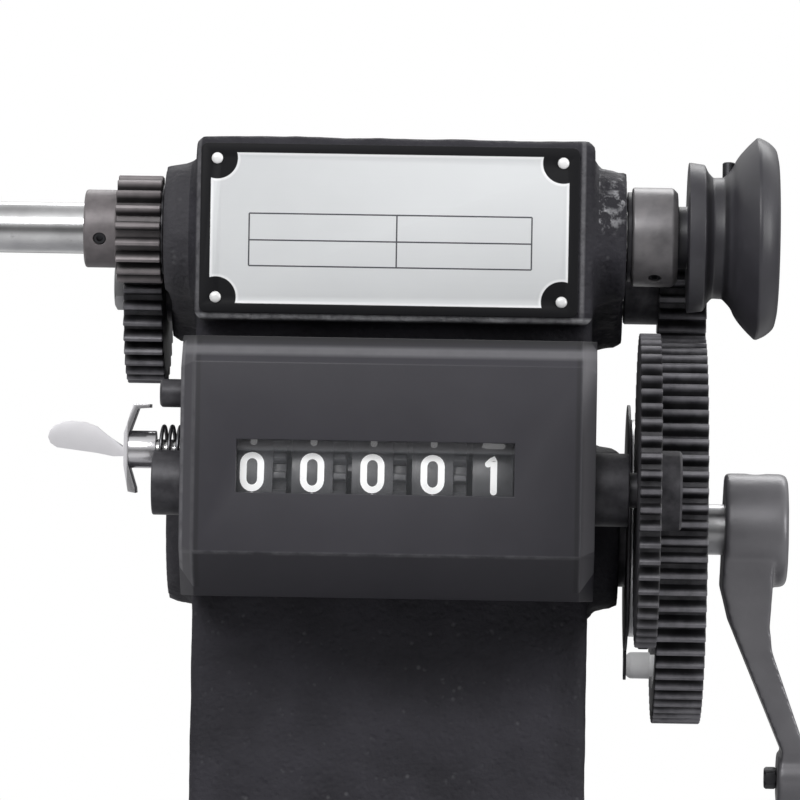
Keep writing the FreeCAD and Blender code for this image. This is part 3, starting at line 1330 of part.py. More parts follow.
part("reset_bush", ring("reset_bush", reset, -cover_half, cover_half - bush_inner,
                        s.reset_bush_radius, s.reset_shaft_radius + s.running_gap))
part("reset_spring", reset_spring())
part("reset_shaft", rod("reset_shaft", reset, reset_hub_left + 0.6,
                        reset_gear_start + s.reset_gear_width - reset_hub_left - 0.6,
                        s.reset_shaft_radius, 0.3))
part("reset_wing", reset_wing())
part("reset_gear", reset_wheel("reset_gear", counter, RESET_GEAR_TEETH,
                               s.counter_shaft_radius + s.running_gap, 0.0))
part("reset_pinion", reset_wheel("reset_pinion", reset, RESET_PINION_TEETH,
                                 s.reset_shaft_radius, reset_pinion_turn))


# ---------------------------------------------------------------------------------------------
# Checks and export
# ---------------------------------------------------------------------------------------------
def check_and_export():
    doc.recompute()
    failed = ["%s: %s" % (thing.Label, thing.State) for thing in doc.Objects
              if any(word in thing.State for word in ("Invalid", "Error"))]
    for label, thing in parts.items():
        shape = thing.Shape
        if shape.isNull() or not shape.Solids or not shape.isValid() or shape.Volume <= 0:
            failed.append("%s: bad shape" % label)
    if failed:
        raise RuntimeError("; ".join(failed))
    os.makedirs("parts", exist_ok=True)
    for label, thing in parts.items():
        thing.Shape.exportStep("parts/%s.step" % label)
        box = thing.Shape.BoundBox
        print("%-22s solids %2d  x %7.1f %7.1f  y %7.1f %7.1f  z %7.1f %7.1f" % (
            label, len(thing.Shape.Solids), box.XMin, box.XMax, box.YMin, box.YMax,
            box.ZMin, box.ZMax))


check_and_export()
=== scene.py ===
import bmesh
import bpy
import math
from mathutils import Matrix, Vector, noise


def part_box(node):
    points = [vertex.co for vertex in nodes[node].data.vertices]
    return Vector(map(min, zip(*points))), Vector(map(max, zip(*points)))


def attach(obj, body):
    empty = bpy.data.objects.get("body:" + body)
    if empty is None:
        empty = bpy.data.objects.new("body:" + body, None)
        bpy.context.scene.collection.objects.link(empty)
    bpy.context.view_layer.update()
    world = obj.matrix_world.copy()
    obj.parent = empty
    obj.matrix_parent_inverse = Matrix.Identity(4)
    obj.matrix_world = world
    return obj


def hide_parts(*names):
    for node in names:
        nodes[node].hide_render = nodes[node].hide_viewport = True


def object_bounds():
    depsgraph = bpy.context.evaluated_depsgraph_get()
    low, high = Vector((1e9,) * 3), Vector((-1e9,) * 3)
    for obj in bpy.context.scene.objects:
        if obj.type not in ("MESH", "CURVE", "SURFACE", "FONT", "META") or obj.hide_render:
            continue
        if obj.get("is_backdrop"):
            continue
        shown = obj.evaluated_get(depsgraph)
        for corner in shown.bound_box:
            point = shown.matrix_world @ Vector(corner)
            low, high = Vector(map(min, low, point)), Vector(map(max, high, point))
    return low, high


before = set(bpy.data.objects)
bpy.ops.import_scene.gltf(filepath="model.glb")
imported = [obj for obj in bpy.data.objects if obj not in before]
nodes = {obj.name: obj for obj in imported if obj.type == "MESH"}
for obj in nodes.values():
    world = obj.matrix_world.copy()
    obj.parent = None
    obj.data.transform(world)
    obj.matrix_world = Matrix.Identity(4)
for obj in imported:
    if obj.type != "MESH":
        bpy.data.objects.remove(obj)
cad_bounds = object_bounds()

# ---------------------------------------------------------------------------------------------
# The stand: one grey-iron casting, from the four-hole foot up to the head that holds the
# bearings. It is sand cast, so its skin is uneven and its edges are soft; it is painted matt
# black, and only the ends of its bosses are faced off.
# ---------------------------------------------------------------------------------------------
MM = 0.001


def math_node(operation):
    """A method of Value that adds one kind of Math node."""
    def method(value, *others):
        return value.finish.add("ShaderNodeMath", {"operation": operation}, value, *others)
    return method


class Value:
    """A socket of a material's node tree; sums, products and comparisons add Math nodes."""

    def __init__(self, finish, socket):
        self.finish = finish
        self.socket = socket

    __add__ = __radd__ = math_node("ADD")
    __sub__ = math_node("SUBTRACT")
    __mul__ = __rmul__ = math_node("MULTIPLY")
    __truediv__ = math_node("DIVIDE")
    __pow__ = math_node("POWER")
    __gt__ = math_node("GREATER_THAN")
    __lt__ = math_node("LESS_THAN")
    __abs__ = math_node("ABSOLUTE")
    at_most = math_node("MINIMUM")
    at_least = math_node("MAXIMUM")

    def __rsub__(self, other):
        return self.finish.add("ShaderNodeMath", {"operation": "SUBTRACT"}, other, self)

    def step(self, low, high):
        """0 below low, 1 above high, and a straight slope between them."""
        return self.finish.add("ShaderNodeMapRange", {"clamp": True}, self, low, high, 0.0, 1.0)


class Shading:
    """A node tree whose sockets take numbers, colours or Values."""

    def __init__(self, tree, place):
        self.tree = tree
        self.place = self.add("ShaderNodeTexCoord", {}, output=place)

    def add(self, kind, settings, *values, output=0, **named):
        """Adds a node: its settings first, then what goes into its sockets."""
        node = self.tree.nodes.new(kind)
        for setting, value in settings.items():
            if setting == "stops":
                while len(node.color_ramp.elements) < len(value):
                    node.color_ramp.elements.new(0.5)
                for element, (position, colour) in zip(node.color_ramp.elements, value):
                    element.position = position
                    element.color = (*colour, 1.0)
            else:
                setattr(node, setting, value)
        inputs = list(zip(node.inputs, values))
        inputs += [(node.inputs[key.replace("_", " ")], value) for key, value in named.items()]
        for socket, value in inputs:
            self.feed(socket, value)
        return Value(self, node.outputs[output])

    def feed(self, socket, value):
        if isinstance(value, Value):
            self.tree.links.new(value.socket, socket)
        elif isinstance(value, tuple) and socket.type == "RGBA":
            socket.default_value = (*value, 1.0)
        else:
            socket.default_value = value

    def axis(self, letter):
        """One coordinate of the place on the piece, in millimetres."""
        return self.add("ShaderNodeSeparateXYZ", {}, self.place, output=letter) / MM

    def ramp(self, factor, *stops):
        """A tone that follows a number: stops are (place, tone)."""
        stops = [(place, (tone, tone, tone)) for place, tone in stops]
        return self.add("ShaderNodeValToRGB", {"stops": stops}, factor)

    def stretched(self, scale, location=(0, 0, 0)):
        return self.add("ShaderNodeMapping", {}, self.place, Scale=scale, Location=location)

    def noise(self, scale, detail=3.0, roughness=0.55, place=None):
        return self.add("ShaderNodeTexNoise", {}, Vector=place or self.place, Scale=scale,
                        Detail=detail, Roughness=roughness)

    def cells(self, scale, randomness=1.0):
        return self.add("ShaderNodeTexVoronoi", {}, Vector=self.place, Scale=scale,
                        Randomness=randomness, output="Distance")

    def mix(self, factor, first, second):
        node = self.tree.nodes.new("ShaderNodeMix")
        node.data_type = "RGBA"
        for socket, value in ((node.inputs[0], factor), (node.inputs[6], first),
                              (node.inputs[7], second)):
            self.feed(socket, value)
        return Value(self, node.outputs[2])

    def mottled(self, cloud, low, high):
        """Two tones in clouds with soft edges."""
        return self.mix(cloud.step(0.3, 0.7), low, high)

    def coated(self, colour, *coats):
        """A colour with coats laid over it in turn, each a (mask, colour)."""
        for mask, coat in coats:
            colour = self.mix(mask, colour, coat)
        return colour

    def line(self, value, place, half):
        """1 where a value lies at a place, fading to 0 within half a width."""
        return 1 - abs(value - place).step(half * 0.35, half)


class Finish(Shading):
    """A material with one Principled shader."""

    def __init__(self, name, **sockets):
        self.material = bpy.data.materials.new(name)
        self.material.use_nodes = True
        super().__init__(self.material.node_tree, "Object")
        self.shader = self.tree.nodes["Principled BSDF"]
        self.set(**sockets)

    def set(self, **sockets):
        for key, value in sockets.items():
            self.feed(self.shader.inputs[key.replace("_", " ")], value)

    def bump(self, height, distance, strength=1.0, normal=None):
        extra = {"Normal": normal} if normal else {}
        return self.add("ShaderNodeBump", {}, Height=height, Distance=distance,
                        Strength=strength, **extra)

    def done(self, colour, rough, bump=None, **sockets):
        """Feeds the shader and returns the material; bump is (height, distance, strength)."""
        if bump:
            sockets["Normal"] = self.bump(*bump)
        self.set(Base_Color=colour, Roughness=rough, **sockets)
        return self.material


HEAD_FRONT, HEAD_BOTTOM = -50.0, 163.3
# places of the painted arris highlights, and the height above which the bosses are rough and carry
# painted glints
HIGHLIGHT_LEFT, HIGHLIGHT_RIGHT, ROUGH_ABOVE = -44.9, 43.2, 184.0


def cast_paint():
    """Matt black paint over a sand-cast skin: grainy, with pale dust in a few of its pits. Painted
    light: highlights on the arrises round the head and along its lower front edge, glints on the
    rough upper bosses, and a lighter tone on the left side."""
    finish = Finish("cast_paint", Metallic=0.0, Specular_IOR_Level=0.3)
    x, y, z = finish.axis("X"), finish.axis("Y"), finish.axis("Z")
    broad = finish.noise(60, 4)
    grain = finish.noise(900, 5, 0.65)
    pits = finish.cells(520)
    dust = (1 - pits.step(0.1, 0.34)) * finish.noise(230, 2).step(0.56, 0.7)
    chips = finish.noise(420, 4, 0.7)
    front = y < HEAD_FRONT + 3
    upright_highlight = finish.line(x, HIGHLIGHT_LEFT, 0.7).at_least(finish.line(x, HIGHLIGHT_RIGHT, 0.7))
    # painted highlight on the upright arrises round the head's front, broken by chips
    arris_highlight = front * (z > HEAD_BOTTOM - 1) * upright_highlight * (0.35 + chips.step(0.3, 0.6) * 0.4)
    # painted highlight line along the lower front edge of the head
    lower = front * finish.line(z, HEAD_BOTTOM + 0.9, 0.9) * (abs(x) < HALF_COLUMN)
    rough = (x > HALF_COLUMN + 1.0) * z.step(ROUGH_ABOVE, ROUGH_ABOVE + 5)
    # painted glints: light specks where light catches the rough upper bosses
    glint_speckle = rough * chips.step(0.5, 0.62) * finish.noise(110, 3).step(0.36, 0.56)
    shade = finish.mix(broad.step(0.35, 0.7), (0.0185, 0.0177, 0.0228), (0.0335, 0.032, 0.0405))
    shade = finish.coated(
        shade,
        # painted light: a lighter tone over the casting's left side
        ((x < -HALF_COLUMN - 1.5) * 0.4, (0.085, 0.083, 0.091)),
        (dust * 0.5, (0.11, 0.11, 0.117)),
        (arris_highlight, (0.17, 0.168, 0.178)),
        (lower * (0.4 + chips.step(0.3, 0.6) * 0.5), (0.42, 0.42, 0.44)),
        (glint_speckle * 0.95, (0.42, 0.42, 0.44)))
    skin = finish.bump(grain, 0.00035, 0.8, finish.bump(broad, 0.0016, 0.5))
    lumps = finish.bump(chips * rough, 0.0009, 0.8, skin)
    return finish.done(shade, 0.52 + grain * 0.3, (pits.step(0.0, 0.45), 0.00022, 0.6, lumps))


def merged(name):
    """A loose copy of a CAD node's mesh with its doubled points merged and flats cleaned."""
    mesh = bmesh.new()
    mesh.from_mesh(nodes[name].data)
    bmesh.ops.remove_doubles(mesh, verts=mesh.verts, dist=1e-6)
    bmesh.ops.dissolve_limit(mesh, angle_limit=math.radians(1.0), verts=mesh.verts,
                             edges=mesh.edges)
    return mesh


def piece_of(mesh, name, material):
    """Turns a bmesh into an object of its own, and frees it."""
    data = bpy.data.meshes.new(name)
    mesh.to_mesh(data)
    mesh.free()
    data.materials.append(material)
    piece = bpy.data.objects.new(name, data)
    bpy.context.scene.collection.objects.link(piece)
    return piece


def applied(piece):
    """Puts the result of a piece's modifiers into its mesh and takes them off."""
    graph = bpy.context.evaluated_depsgraph_get()
    result = bpy.data.meshes.new_from_object(piece.evaluated_get(graph))
    piece.modifiers.clear()
    old = piece.data
    piece.data = result
    bpy.data.meshes.remove(old)
    return piece


def shade(piece, angle=35.0):
    """Smooth shading, broken at edges sharper than an angle."""
    piece.data.shade_smooth()
    piece.data.set_sharp_from_angle(angle=math.radians(angle))
    return piece


def put(piece, body, slot, *replaced):
    """Fixes a finished piece to its body and hides the CAD nodes it stands for; slot is not used.
    """
    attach(piece, body)
    if replaced:
        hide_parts(*replaced)
    return piece


def sand_cast(mesh, name, material, grain, smoothing, lump, keep):
    """Melts a solid's edges as a mould does, and gives its skin low uneven lumps."""
    piece = piece_of(mesh, name, material)
    remesh = piece.modifiers.new("Melt", "REMESH")
    remesh.mode = "VOXEL"
    remesh.voxel_size = grain
    soften = piece.modifiers.new("Soften", "SMOOTH")
    soften.factor = 0.5
    soften.iterations = smoothing
    applied(piece)
    moved = []
    for point in piece.data.vertices:
        place = point.co / MM
        low = noise.noise(place * 0.09) + 0.5 * noise.noise(place * 0.31)
        moved.extend(point.co + point.normal * (lump(place) * low * keep(place) * MM))
    piece.data.vertices.foreach_set("co", moved)
    piece.data.update()
    return shade(piece, 60.0)


CASTING_GRAIN = 1.3 * MM
HALF_COLUMN, FACED_BOSS, BOSSES_ABOVE = 45.8, 52.2, 90
HIGH_LUMPS, LOW_LUMPS = 0.75, 0.22
FOOT_SEAT, PLATE_SEAT = 0.6, -49.4
COUNTER_SEAT, COUNTER_HALF, COUNTER_LOW, COUNTER_HIGH = -37, 47, 99, 163


def casting_lump(place):
    """Height of the lumps in mm: low on the front and foot, high round the bearing bosses."""
    by_boss = HALF_COLUMN + 0.4 < abs(place.x) < FACED_BOSS and place.z > BOSSES_ABOVE
    return HIGH_LUMPS if by_boss else LOW_LUMPS


def casting_keep(place):
    """No lumps where a piece is seated: the foot, the bosses' ends, the plate, the counter."""
    seated = place.z < FOOT_SEAT or abs(place.x) > FACED_BOSS or place.y < PLATE_SEAT
    behind_counter = (place.y < COUNTER_SEAT and abs(place.x) < COUNTER_HALF
                      and COUNTER_LOW < place.z < COUNTER_HIGH)
    return 0.0 if seated or behind_counter else 1.0


black_casting = cast_paint()
stand = sand_cast(merged("frame_casting"), "stand_casting", black_casting, CASTING_GRAIN, 3,
                  casting_lump, casting_keep)
put(stand, "stand", "casting_paint", "frame_casting")

# ---------------------------------------------------------------------------------------------
# Bearing bushes: sintered bronze, pressed into both side walls of the casting. Only the thin
# rings round the shafts show, dark with oil.
# ---------------------------------------------------------------------------------------------


def oily_bronze():
    """Sintered bronze with oil in its pores."""
    finish = Finish("oily_bronze", Metallic=1.0)
    pores = finish.cells(2600)
    tone = finish.noise(160, 3)
    bright = finish.mix(tone, (0.32, 0.19, 0.09), (0.46, 0.3, 0.15))
    return finish.done(finish.mix(1 - pores.step(0.05, 0.3), bright, (0.05, 0.03, 0.02)),
                       0.32 + tone * 0.2, (pores, 0.00008, 0.5))


def refinish(material, *names):
    """Gives CAD nodes whose shape is right a finish of their own."""
    for name in names:
        data = nodes[name].data
        data.materials.clear()
        data.materials.append(material)


refinish(oily_bronze(), "spindle_bearings", "layshaft_bushes", "crank_bushes", "reset_bush")

# ---------------------------------------------------------------------------------------------
# The nameplate: aluminium sheet, its border printed black with rounded bays round the rivets.
# The silver field carries only a plain ruled table. Four domed drive rivets hold it.
# ---------------------------------------------------------------------------------------------
PLATE_LOW, PLATE_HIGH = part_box("nameplate")
PLATE_CENTRE = (PLATE_LOW[0] + PLATE_HIGH[0]) / 2 / MM
PLATE_MIDDLE = (PLATE_LOW[2] + PLATE_HIGH[2]) / 2 / MM
FIELD_HALF = (41.0, 17.25)
RIVET_BAY = 4.7
RIVET_SPREAD = (39.6, 15.9)


def softened(mesh, name, material, width, segments=2, limit=30.0):
    """A solid whose edges sharper than a limit are rounded off by a width in mm."""
    piece = piece_of(mesh, name, material)
    bevel = piece.modifiers.new("Round", "BEVEL")
    bevel.width = width * MM
    bevel.segments = segments
    bevel.limit_method = "ANGLE"
    bevel.angle_limit = math.radians(limit)
    bevel.use_clamp_overlap = True
    applied(piece)
    return shade(piece)


def rounded(node, name, material, body, slot, width, *form):
    """Puts a CAD node on its body again with its edges rounded off."""
    return put(softened(merged(node), name, material, width, *form), body, slot, node)


def printed_plate():
    """Aluminium sheet printed black round a bright field, which is etched a little lower."""
    finish = Finish("printed_plate", Specular_IOR_Level=0.15)
    x, z = finish.axis("X") - PLATE_CENTRE, finish.axis("Z") - PLATE_MIDDLE
    across, up = abs(x), abs(z)
    inside = (FIELD_HALF[0] - across).at_most(FIELD_HALF[1] - up)
    bay_x, bay_z = across - RIVET_SPREAD[0], up - RIVET_SPREAD[1]
    bay = (bay_x * bay_x + bay_z * bay_z) ** 0.5 - RIVET_BAY
    depth = inside.at_most(bay)
    field = depth.step(-0.06, 0.06)
    # painted highlight: a bright band along the edge of the etched field
    rim = field * (1 - depth.step(0.35, 0.75))
    tone = finish.noise(45, 3)
    brushed = finish.noise(220, 4, 0.6, finish.stretched((0.15, 1.0, 9.0)))
    silver = finish.mix(tone.step(0.3, 0.75), (0.675, 0.69, 0.7), (0.71, 0.725, 0.735))
    silver = finish.coated(
        silver, (brushed * 0.15, (0.8, 0.81, 0.83)), (rim * 0.7, (0.95, 0.95, 0.96)),
        (ruled_table(x, z), (0.09, 0.09, 0.1)))
    etched = finish.bump(field, 0.00008, 0.7)
    return finish.done(finish.mix(field, (0.009, 0.009, 0.0105), silver),
                       0.5 - field * 0.06 + tone * 0.1, (brushed, 0.00002, 0.25, etched),
                       Metallic=field * 0.08)


def ruled_table(x, z):
    """A plain ruled table, two rows by two columns, printed on the plate's field."""
    left, middle, right, low, row, high = -32.1, 1.7, 32.6, -8.6, -2.7, 3.4
    half = 0.17
    rows = (abs(z - low) < half).at_least(abs(z - row) < half).at_least(abs(z - high) < half)
    columns = (abs(x - left) < half).at_least(abs(x - middle) < half).at_least(
        abs(x - right) < half)
    return (rows * (x > left) * (x < right)).at_least(columns * (z > low) * (z < high))


def toned(colour, factor):
    """A colour made lighter or darker by a factor."""
    return tuple(channel * factor for channel in colour)


rounded("nameplate", "rating_plate", printed_plate(), "stand", "plate_metal", 0.18)


def bright_metal(name, tone, rough, scratch=0.00002, grain=(1.0, 1.0, 1.0), metallic=1.0):
    """Bare or plated steel: faint cloudiness, fine tool marks and a few darker spots."""
    finish = Finish(name, Metallic=metallic)
    cloud = finish.noise(120, 4)
    marks = finish.noise(900, 5, 0.6, finish.stretched(grain))
    spots = finish.noise(420, 2).step(0.66, 0.78)
    colour = finish.mottled(cloud, toned(tone, 0.78), tone)
    return finish.done(finish.mix(spots * 0.4, colour, toned(tone, 0.4)),
                       rough + cloud * 0.1 + marks * 0.08, (marks, scratch, 0.5))


def tree_with(name, inputs):
    """A geometry tree with named number inputs; returns it with its input and output nodes."""
    tree = bpy.data.node_groups.new(name, "GeometryNodeTree")
    for label, kind, value in inputs:
        socket = tree.interface.new_socket(label, in_out="INPUT", socket_type=kind)
        if value is not None:
            socket.default_value = value
    tree.interface.new_socket("Geometry", in_out="OUTPUT", socket_type="NodeSocketGeometry")
    return tree, tree.nodes.new("NodeGroupInput"), tree.nodes.new("NodeGroupOutput")


def node_in(tree, kind, **inputs):
    """Adds a geometry node and returns its outputs; an input is a value or another's output."""
    node = tree.nodes.new("GeometryNode" + kind)
    for key, value in inputs.items():
        socket = node.inputs[key.replace("_", " ")]
        if isinstance(value, bpy.types.NodeSocket):
            tree.links.new(value, socket)
        else:
            socket.default_value = value
    return node.outputs


def end_tree(tree, geometry, output, material):
    """Closes a tree with Realize Instances and Set Material, which the export needs."""
    real = node_in(tree, "RealizeInstances", Geometry=geometry)
    painted = node_in(tree, "SetMaterial", Geometry=real[0], Material=material)
    tree.links.new(painted[0], output.inputs[0])


def grown(name, tree, mesh=None):
    """The plain mesh that a geometry tree makes, with the tree taken off again."""
    piece = bpy.data.objects.new(name, mesh or bpy.data.meshes.new(name))
    bpy.context.scene.collection.objects.link(piece)
    modifier = piece.modifiers.new("Tree", "NODES")
    modifier.node_group = tree
    return applied(piece)


def instance_tree(name, spots, shape, material):
    """Sets one shape on a list of places, each a 4 by 4 matrix, through a geometry tree."""
    tree, entry, output = tree_with(name, [("Geometry", "NodeSocketGeometry", None),
                                           ("Scale", "NodeSocketFloat", 1.0)])
    attribute = tree.nodes.new("GeometryNodeInputNamedAttribute")
    attribute.data_type = "FLOAT_VECTOR"
    attribute.inputs["Name"].default_value = "turned"
    spread = node_in(tree, "InstanceOnPoints", Points=entry.outputs["Geometry"],
                     Instance=node_in(tree, "ObjectInfo", Object=shape)["Geometry"],
                     Rotation=attribute.outputs["Attribute"], Scale=entry.outputs["Scale"])
    end_tree(tree, spread[0], output, material)
    points = bpy.data.meshes.new(name)
    points.from_pydata([matrix.translation for matrix in spots], [], [])
    turned = points.attributes.new("turned", "FLOAT_VECTOR", "POINT")
    for entry_value, matrix in zip(turned.data, spots):
        entry_value.vector = matrix.to_euler()
    result = grown(name, tree, points)
    bpy.data.objects.remove(shape)
    return result


ROUND = 96


def filleted(outline, steps=4):
    """Rounds the corners of an (x, r) outline; a corner's third value is its radius in mm."""
    points = []
    count = len(outline)
    for index, corner in enumerate(outline):
        here = Vector(corner[:2])
        size = corner[2] if len(corner) > 2 else 0.0
        if size <= 0:
            points.append(here)
            continue
        back = Vector(outline[index - 1][:2]) - here
        on = Vector(outline[(index + 1) % count][:2]) - here
        reach = min(size, 0.48 * back.length, 0.48 * on.length)
        start, end = here + back.normalized() * reach, here + on.normalized() * reach
        for step in range(steps + 1):
            t = step / steps
            points.append(start * (1 - t) ** 2 + here * 2 * t * (1 - t) + end * t ** 2)
    return [(point.x, point.y) for point in points]


def circle_points(radius, sides):
    """Points round a circle, in mm."""
    angles = [2 * math.pi * side / sides for side in range(sides)]
    return [(radius * math.cos(angle), radius * math.sin(angle)) for angle in angles]


def ring_at(mesh, axis, x, points):
    """A ring of vertices square to X, at points round an axis, in mm."""
    return [mesh.verts.new((x * MM, (axis[0] + point[0]) * MM, (axis[1] + point[1]) * MM))
            for point in points]


def skinned(mesh, rings, loop=True):
    """Faces from each ring to the next; in a loop the last ring also meets the first."""
    for index, ring in enumerate(rings if loop else rings[:-1]):
        after = rings[(index + 1) % len(rings)]
        for side in range(len(ring)):
            follow = (side + 1) % len(ring)
            mesh.faces.new((ring[side], ring[follow], after[follow], after[side]))


def closed_piece(mesh, name, material, sharp):
    """A skin with its doubled points merged and its faces turned outwards, as an object."""
    bmesh.ops.remove_doubles(mesh, verts=mesh.verts, dist=1e-7)
    bmesh.ops.recalc_face_normals(mesh, faces=mesh.faces)
    return shade(piece_of(mesh, name, material), sharp)


def turned(name, material, axis, start, outline, sides=ROUND, sharp=32.0):
    """A lathe piece about a line along X: outline is a closed run of (x, radius, fillet)."""
    mesh = bmesh.new()
    rings = [ring_at(mesh, axis, start + x, circle_points(radius, sides))
             for x, radius in filleted(outline)]
    skinned(mesh, rings, loop=outline[0][1] != 0 or outline[-1][1] != 0)
    return closed_piece(mesh, name, material, sharp)


zinc = bright_metal("zinc_plate", (0.7, 0.7, 0.73), 0.26)
rivet_steel = bright_metal("rivet_steel", (0.95, 0.95, 0.95), 0.3, metallic=0.15)
rivet_shape = turned("rivet", zinc, (0, 0), 0, [
    (4.0, 0), (4.0, 0.88), (0, 0.88), (0, 1.35, 0.2), (-0.4, 1.25, 0.4), (-0.7, 0.7, 0.4),
    (-0.75, 0)], 32)
rivet_spots = [Matrix.Translation(((PLATE_CENTRE + x * RIVET_SPREAD[0]) * MM, PLATE_LOW[1],
                                   (PLATE_MIDDLE + z * RIVET_SPREAD[1]) * MM))
               @ Matrix.Rotation(math.radians(90), 4, "Z")
               for x in (-1, 1) for z in (-1, 1)]
rivets = instance_tree("plate_rivets", rivet_spots, rivet_shape, rivet_steel)
put(shade(rivets), "stand", "zinc_steel", "nameplate_rivets")

# ---------------------------------------------------------------------------------------------
# Shaft lines, as the gear train sets them: crank and layshaft in the plane of the column,
# the winding spindle in front of the layshaft and the counter in front of the crank.
# ---------------------------------------------------------------------------------------------
MODULE = 1.25
CRANK_TEETH, DRIVE_TEETH, COUNTER_TEETH, LAYSHAFT_TEETH, PINION_TEETH = 72, 44, 55, 36, 18


def centre_of(name):
    """Place in Y and Z of the middle of a turned CAD node, in mm."""
    low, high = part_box(name)
    return (low[1] + high[1]) / 2 / MM, (low[2] + high[2]) / 2 / MM


def span_of(name):
    """Left and right ends of a CAD node, in mm."""
    low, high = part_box(name)
    return low[0] / MM, high[0] / MM


crank_axis = centre_of("crank_shaft")
layshaft_axis = centre_of("layshaft")
spindle_axis = centre_of("spindle")
counter_axis = centre_of("counter_shaft")
reset_axis = centre_of("reset_shaft")
grip_axis = centre_of("crank_grip")


def direction(axis, other):
    """Angle in degrees, about X, from one axis to another."""
    return math.degrees(math.atan2(other[1] - axis[1], other[0] - axis[0]))


def mesh_turn(teeth, other_teeth, towards, turn=0.0):
    """Turn of a wheel in mesh with another that stands at a turn of its own."""
    step = 360.0 / teeth
    tooth = (towards - turn - step / 2) / step
    return towards + 180.0 - (round(tooth) - tooth) * step * teeth / other_teeth


pinion_turn = mesh_turn(CRANK_TEETH, PINION_TEETH, direction(crank_axis, layshaft_axis))
spindle_turn = mesh_turn(LAYSHAFT_TEETH, PINION_TEETH, direction(layshaft_axis, spindle_axis))
counter_turn = mesh_turn(DRIVE_TEETH, COUNTER_TEETH, direction(crank_axis, counter_axis))

# ---------------------------------------------------------------------------------------------
# Black gears of the train: steel blanks, hobbed and chemically blacked, then oiled. The rims
# of their teeth carry a painted highlight in dull grey, and painted shade keeps the flanks dark.
# ---------------------------------------------------------------------------------------------
PRESSURE = math.radians(20)
EDGE = 0.22


def blacked_steel(name, dark, worn_and_lit, rough=0.36, axis=None, tip=0.0):
    """Blacked and oiled steel, worn grey in patches; on a gear the tooth lands get a painted
    highlight and the spaces painted shade.
    """
    finish = Finish(name, Metallic=0.3, Specular_IOR_Level=0.5)
    cloud = finish.noise(150, 4)
    marks = finish.noise(1500, 4, 0.6, finish.stretched((0.3, 2.0, 2.0)))
    wear = finish.noise(300, 4).step(0.38, 0.7)
    colour = finish.mottled(cloud, dark, toned(dark, 1.5))
    colour = finish.mix(wear * 0.6, colour, worn_and_lit)
    if axis:
        y, z = finish.axis("Y") - axis[0], finish.axis("Z") - axis[1]
        radius = (y * y + z * z) ** 0.5
        # painted shade in the tooth spaces and a painted highlight on the tooth lands
        space = radius.step(tip - 3.2, tip - 2.4) * (1 - radius.step(tip - 1.3, tip - 0.5))
        land_highlight = radius.step(tip - 0.7, tip - 0.12)
        colour = finish.coated(colour, (space * 0.85, (0.0045, 0.0043, 0.005)),
                               (land_highlight * (0.55 + wear * 0.4), toned(worn_and_lit, 1.25)))
    return finish.done(colour, rough + cloud * 0.14 + marks * 0.06, (marks, 0.00002, 0.5))


def tooth_outline(teeth, module=MODULE, backlash=0.16, addendum=1.0, dedendum=1.25):
    """Outline of all the teeth as (angle, radius); a tooth space is centred on angle 0."""
    pitch = teeth * module / 2
    base, tip = pitch * math.cos(PRESSURE), pitch + addendum * module
    root = pitch - dedendum * module
    half_tooth = (math.pi * module - backlash) / (4 * pitch)
    involute = math.tan(PRESSURE) - PRESSURE

    def flank(radius):
        pressure = math.acos(min(1.0, base / max(radius, base)))
        return half_tooth + involute - (math.tan(pressure) - pressure)

    low = max(base, root + 0.12 * module)
    radii = [root + 0.02, low, low + (tip - low) * 0.35, low + (tip - low) * 0.7, tip - 0.12]
    half = [(flank(radius), radius) for radius in radii] + [(flank(tip) * 0.8, tip)]
    outline = []
    for tooth in range(teeth):
        middle = 2 * math.pi * (tooth + 0.5) / teeth
        outline.append((middle - math.pi / teeth, root))
        outline += [(middle - angle, radius) for angle, radius in half]
        outline += [(middle + angle, radius) for angle, radius in reversed(half)]
    return outline


def toothed_wheel(name, material, axis, start, width, teeth, turn, left, right, **form):
    """A gear as one closed skin: left face, teeth, right face and bore. left and right are
    runs of (x, radius) from the tooth ring in to the bore, x from the tooth ring's left."""
    outline = tooth_outline(teeth, **form)
    flat = [Vector((radius * math.cos(angle), radius * math.sin(angle)))
            for angle, radius in outline]
    count = len(flat)
    inward = []
    for index in range(count):
        along = (flat[(index + 1) % count] - flat[index - 1]).normalized()
        inward.append(flat[index] - Vector((along.y, -along.x)) * EDGE)
    rings = [(0.0, inward), (EDGE, flat), (width - EDGE, flat), (width, inward)]
    rings += [(x, [Vector((radius * math.cos(angle), radius * math.sin(angle)))
                   for angle, _ in outline]) for x, radius in [*right, *reversed(left)]]
    mesh = bmesh.new()
    spin = Matrix.Rotation(math.radians(turn), 2)
    skinned(mesh, [ring_at(mesh, axis, start + x, [spin @ point for point in points])
                   for x, points in rings])
    return closed_piece(mesh, name, material, 28.0)


gear_black = blacked_steel("gear_black", (0.032, 0.031, 0.036), (0.1, 0.098, 0.107))
collar_black = blacked_steel("collar_black", (0.145, 0.139, 0.145), (0.22, 0.21, 0.214), 0.25)
GEAR_GREY, GEAR_WORN_LIT = (0.042, 0.041, 0.048), (0.2, 0.196, 0.212)
# a darker copy of the gear finish, painted shade for the counter's gear
DULL_SHADED_GREY, DULL_SHADED_WORN_LIT = (0.024, 0.0232, 0.0275), (0.11, 0.107, 0.117)
# a lighter, warmer copy of the gear finish, painted light for the spindle's pinion
WARM_LIT_GREY, WARM_LIT_WORN = (0.135, 0.123, 0.127), (0.225, 0.205, 0.21)


def gear_finish(name, axis, teeth, dark=GEAR_GREY, worn_and_lit=GEAR_WORN_LIT):
    """Blacked steel for a gear, with a painted highlight at the radius of its tooth tips."""
    return blacked_steel(name, dark, worn_and_lit, 0.36, axis, (teeth / 2 + 1) * MODULE)


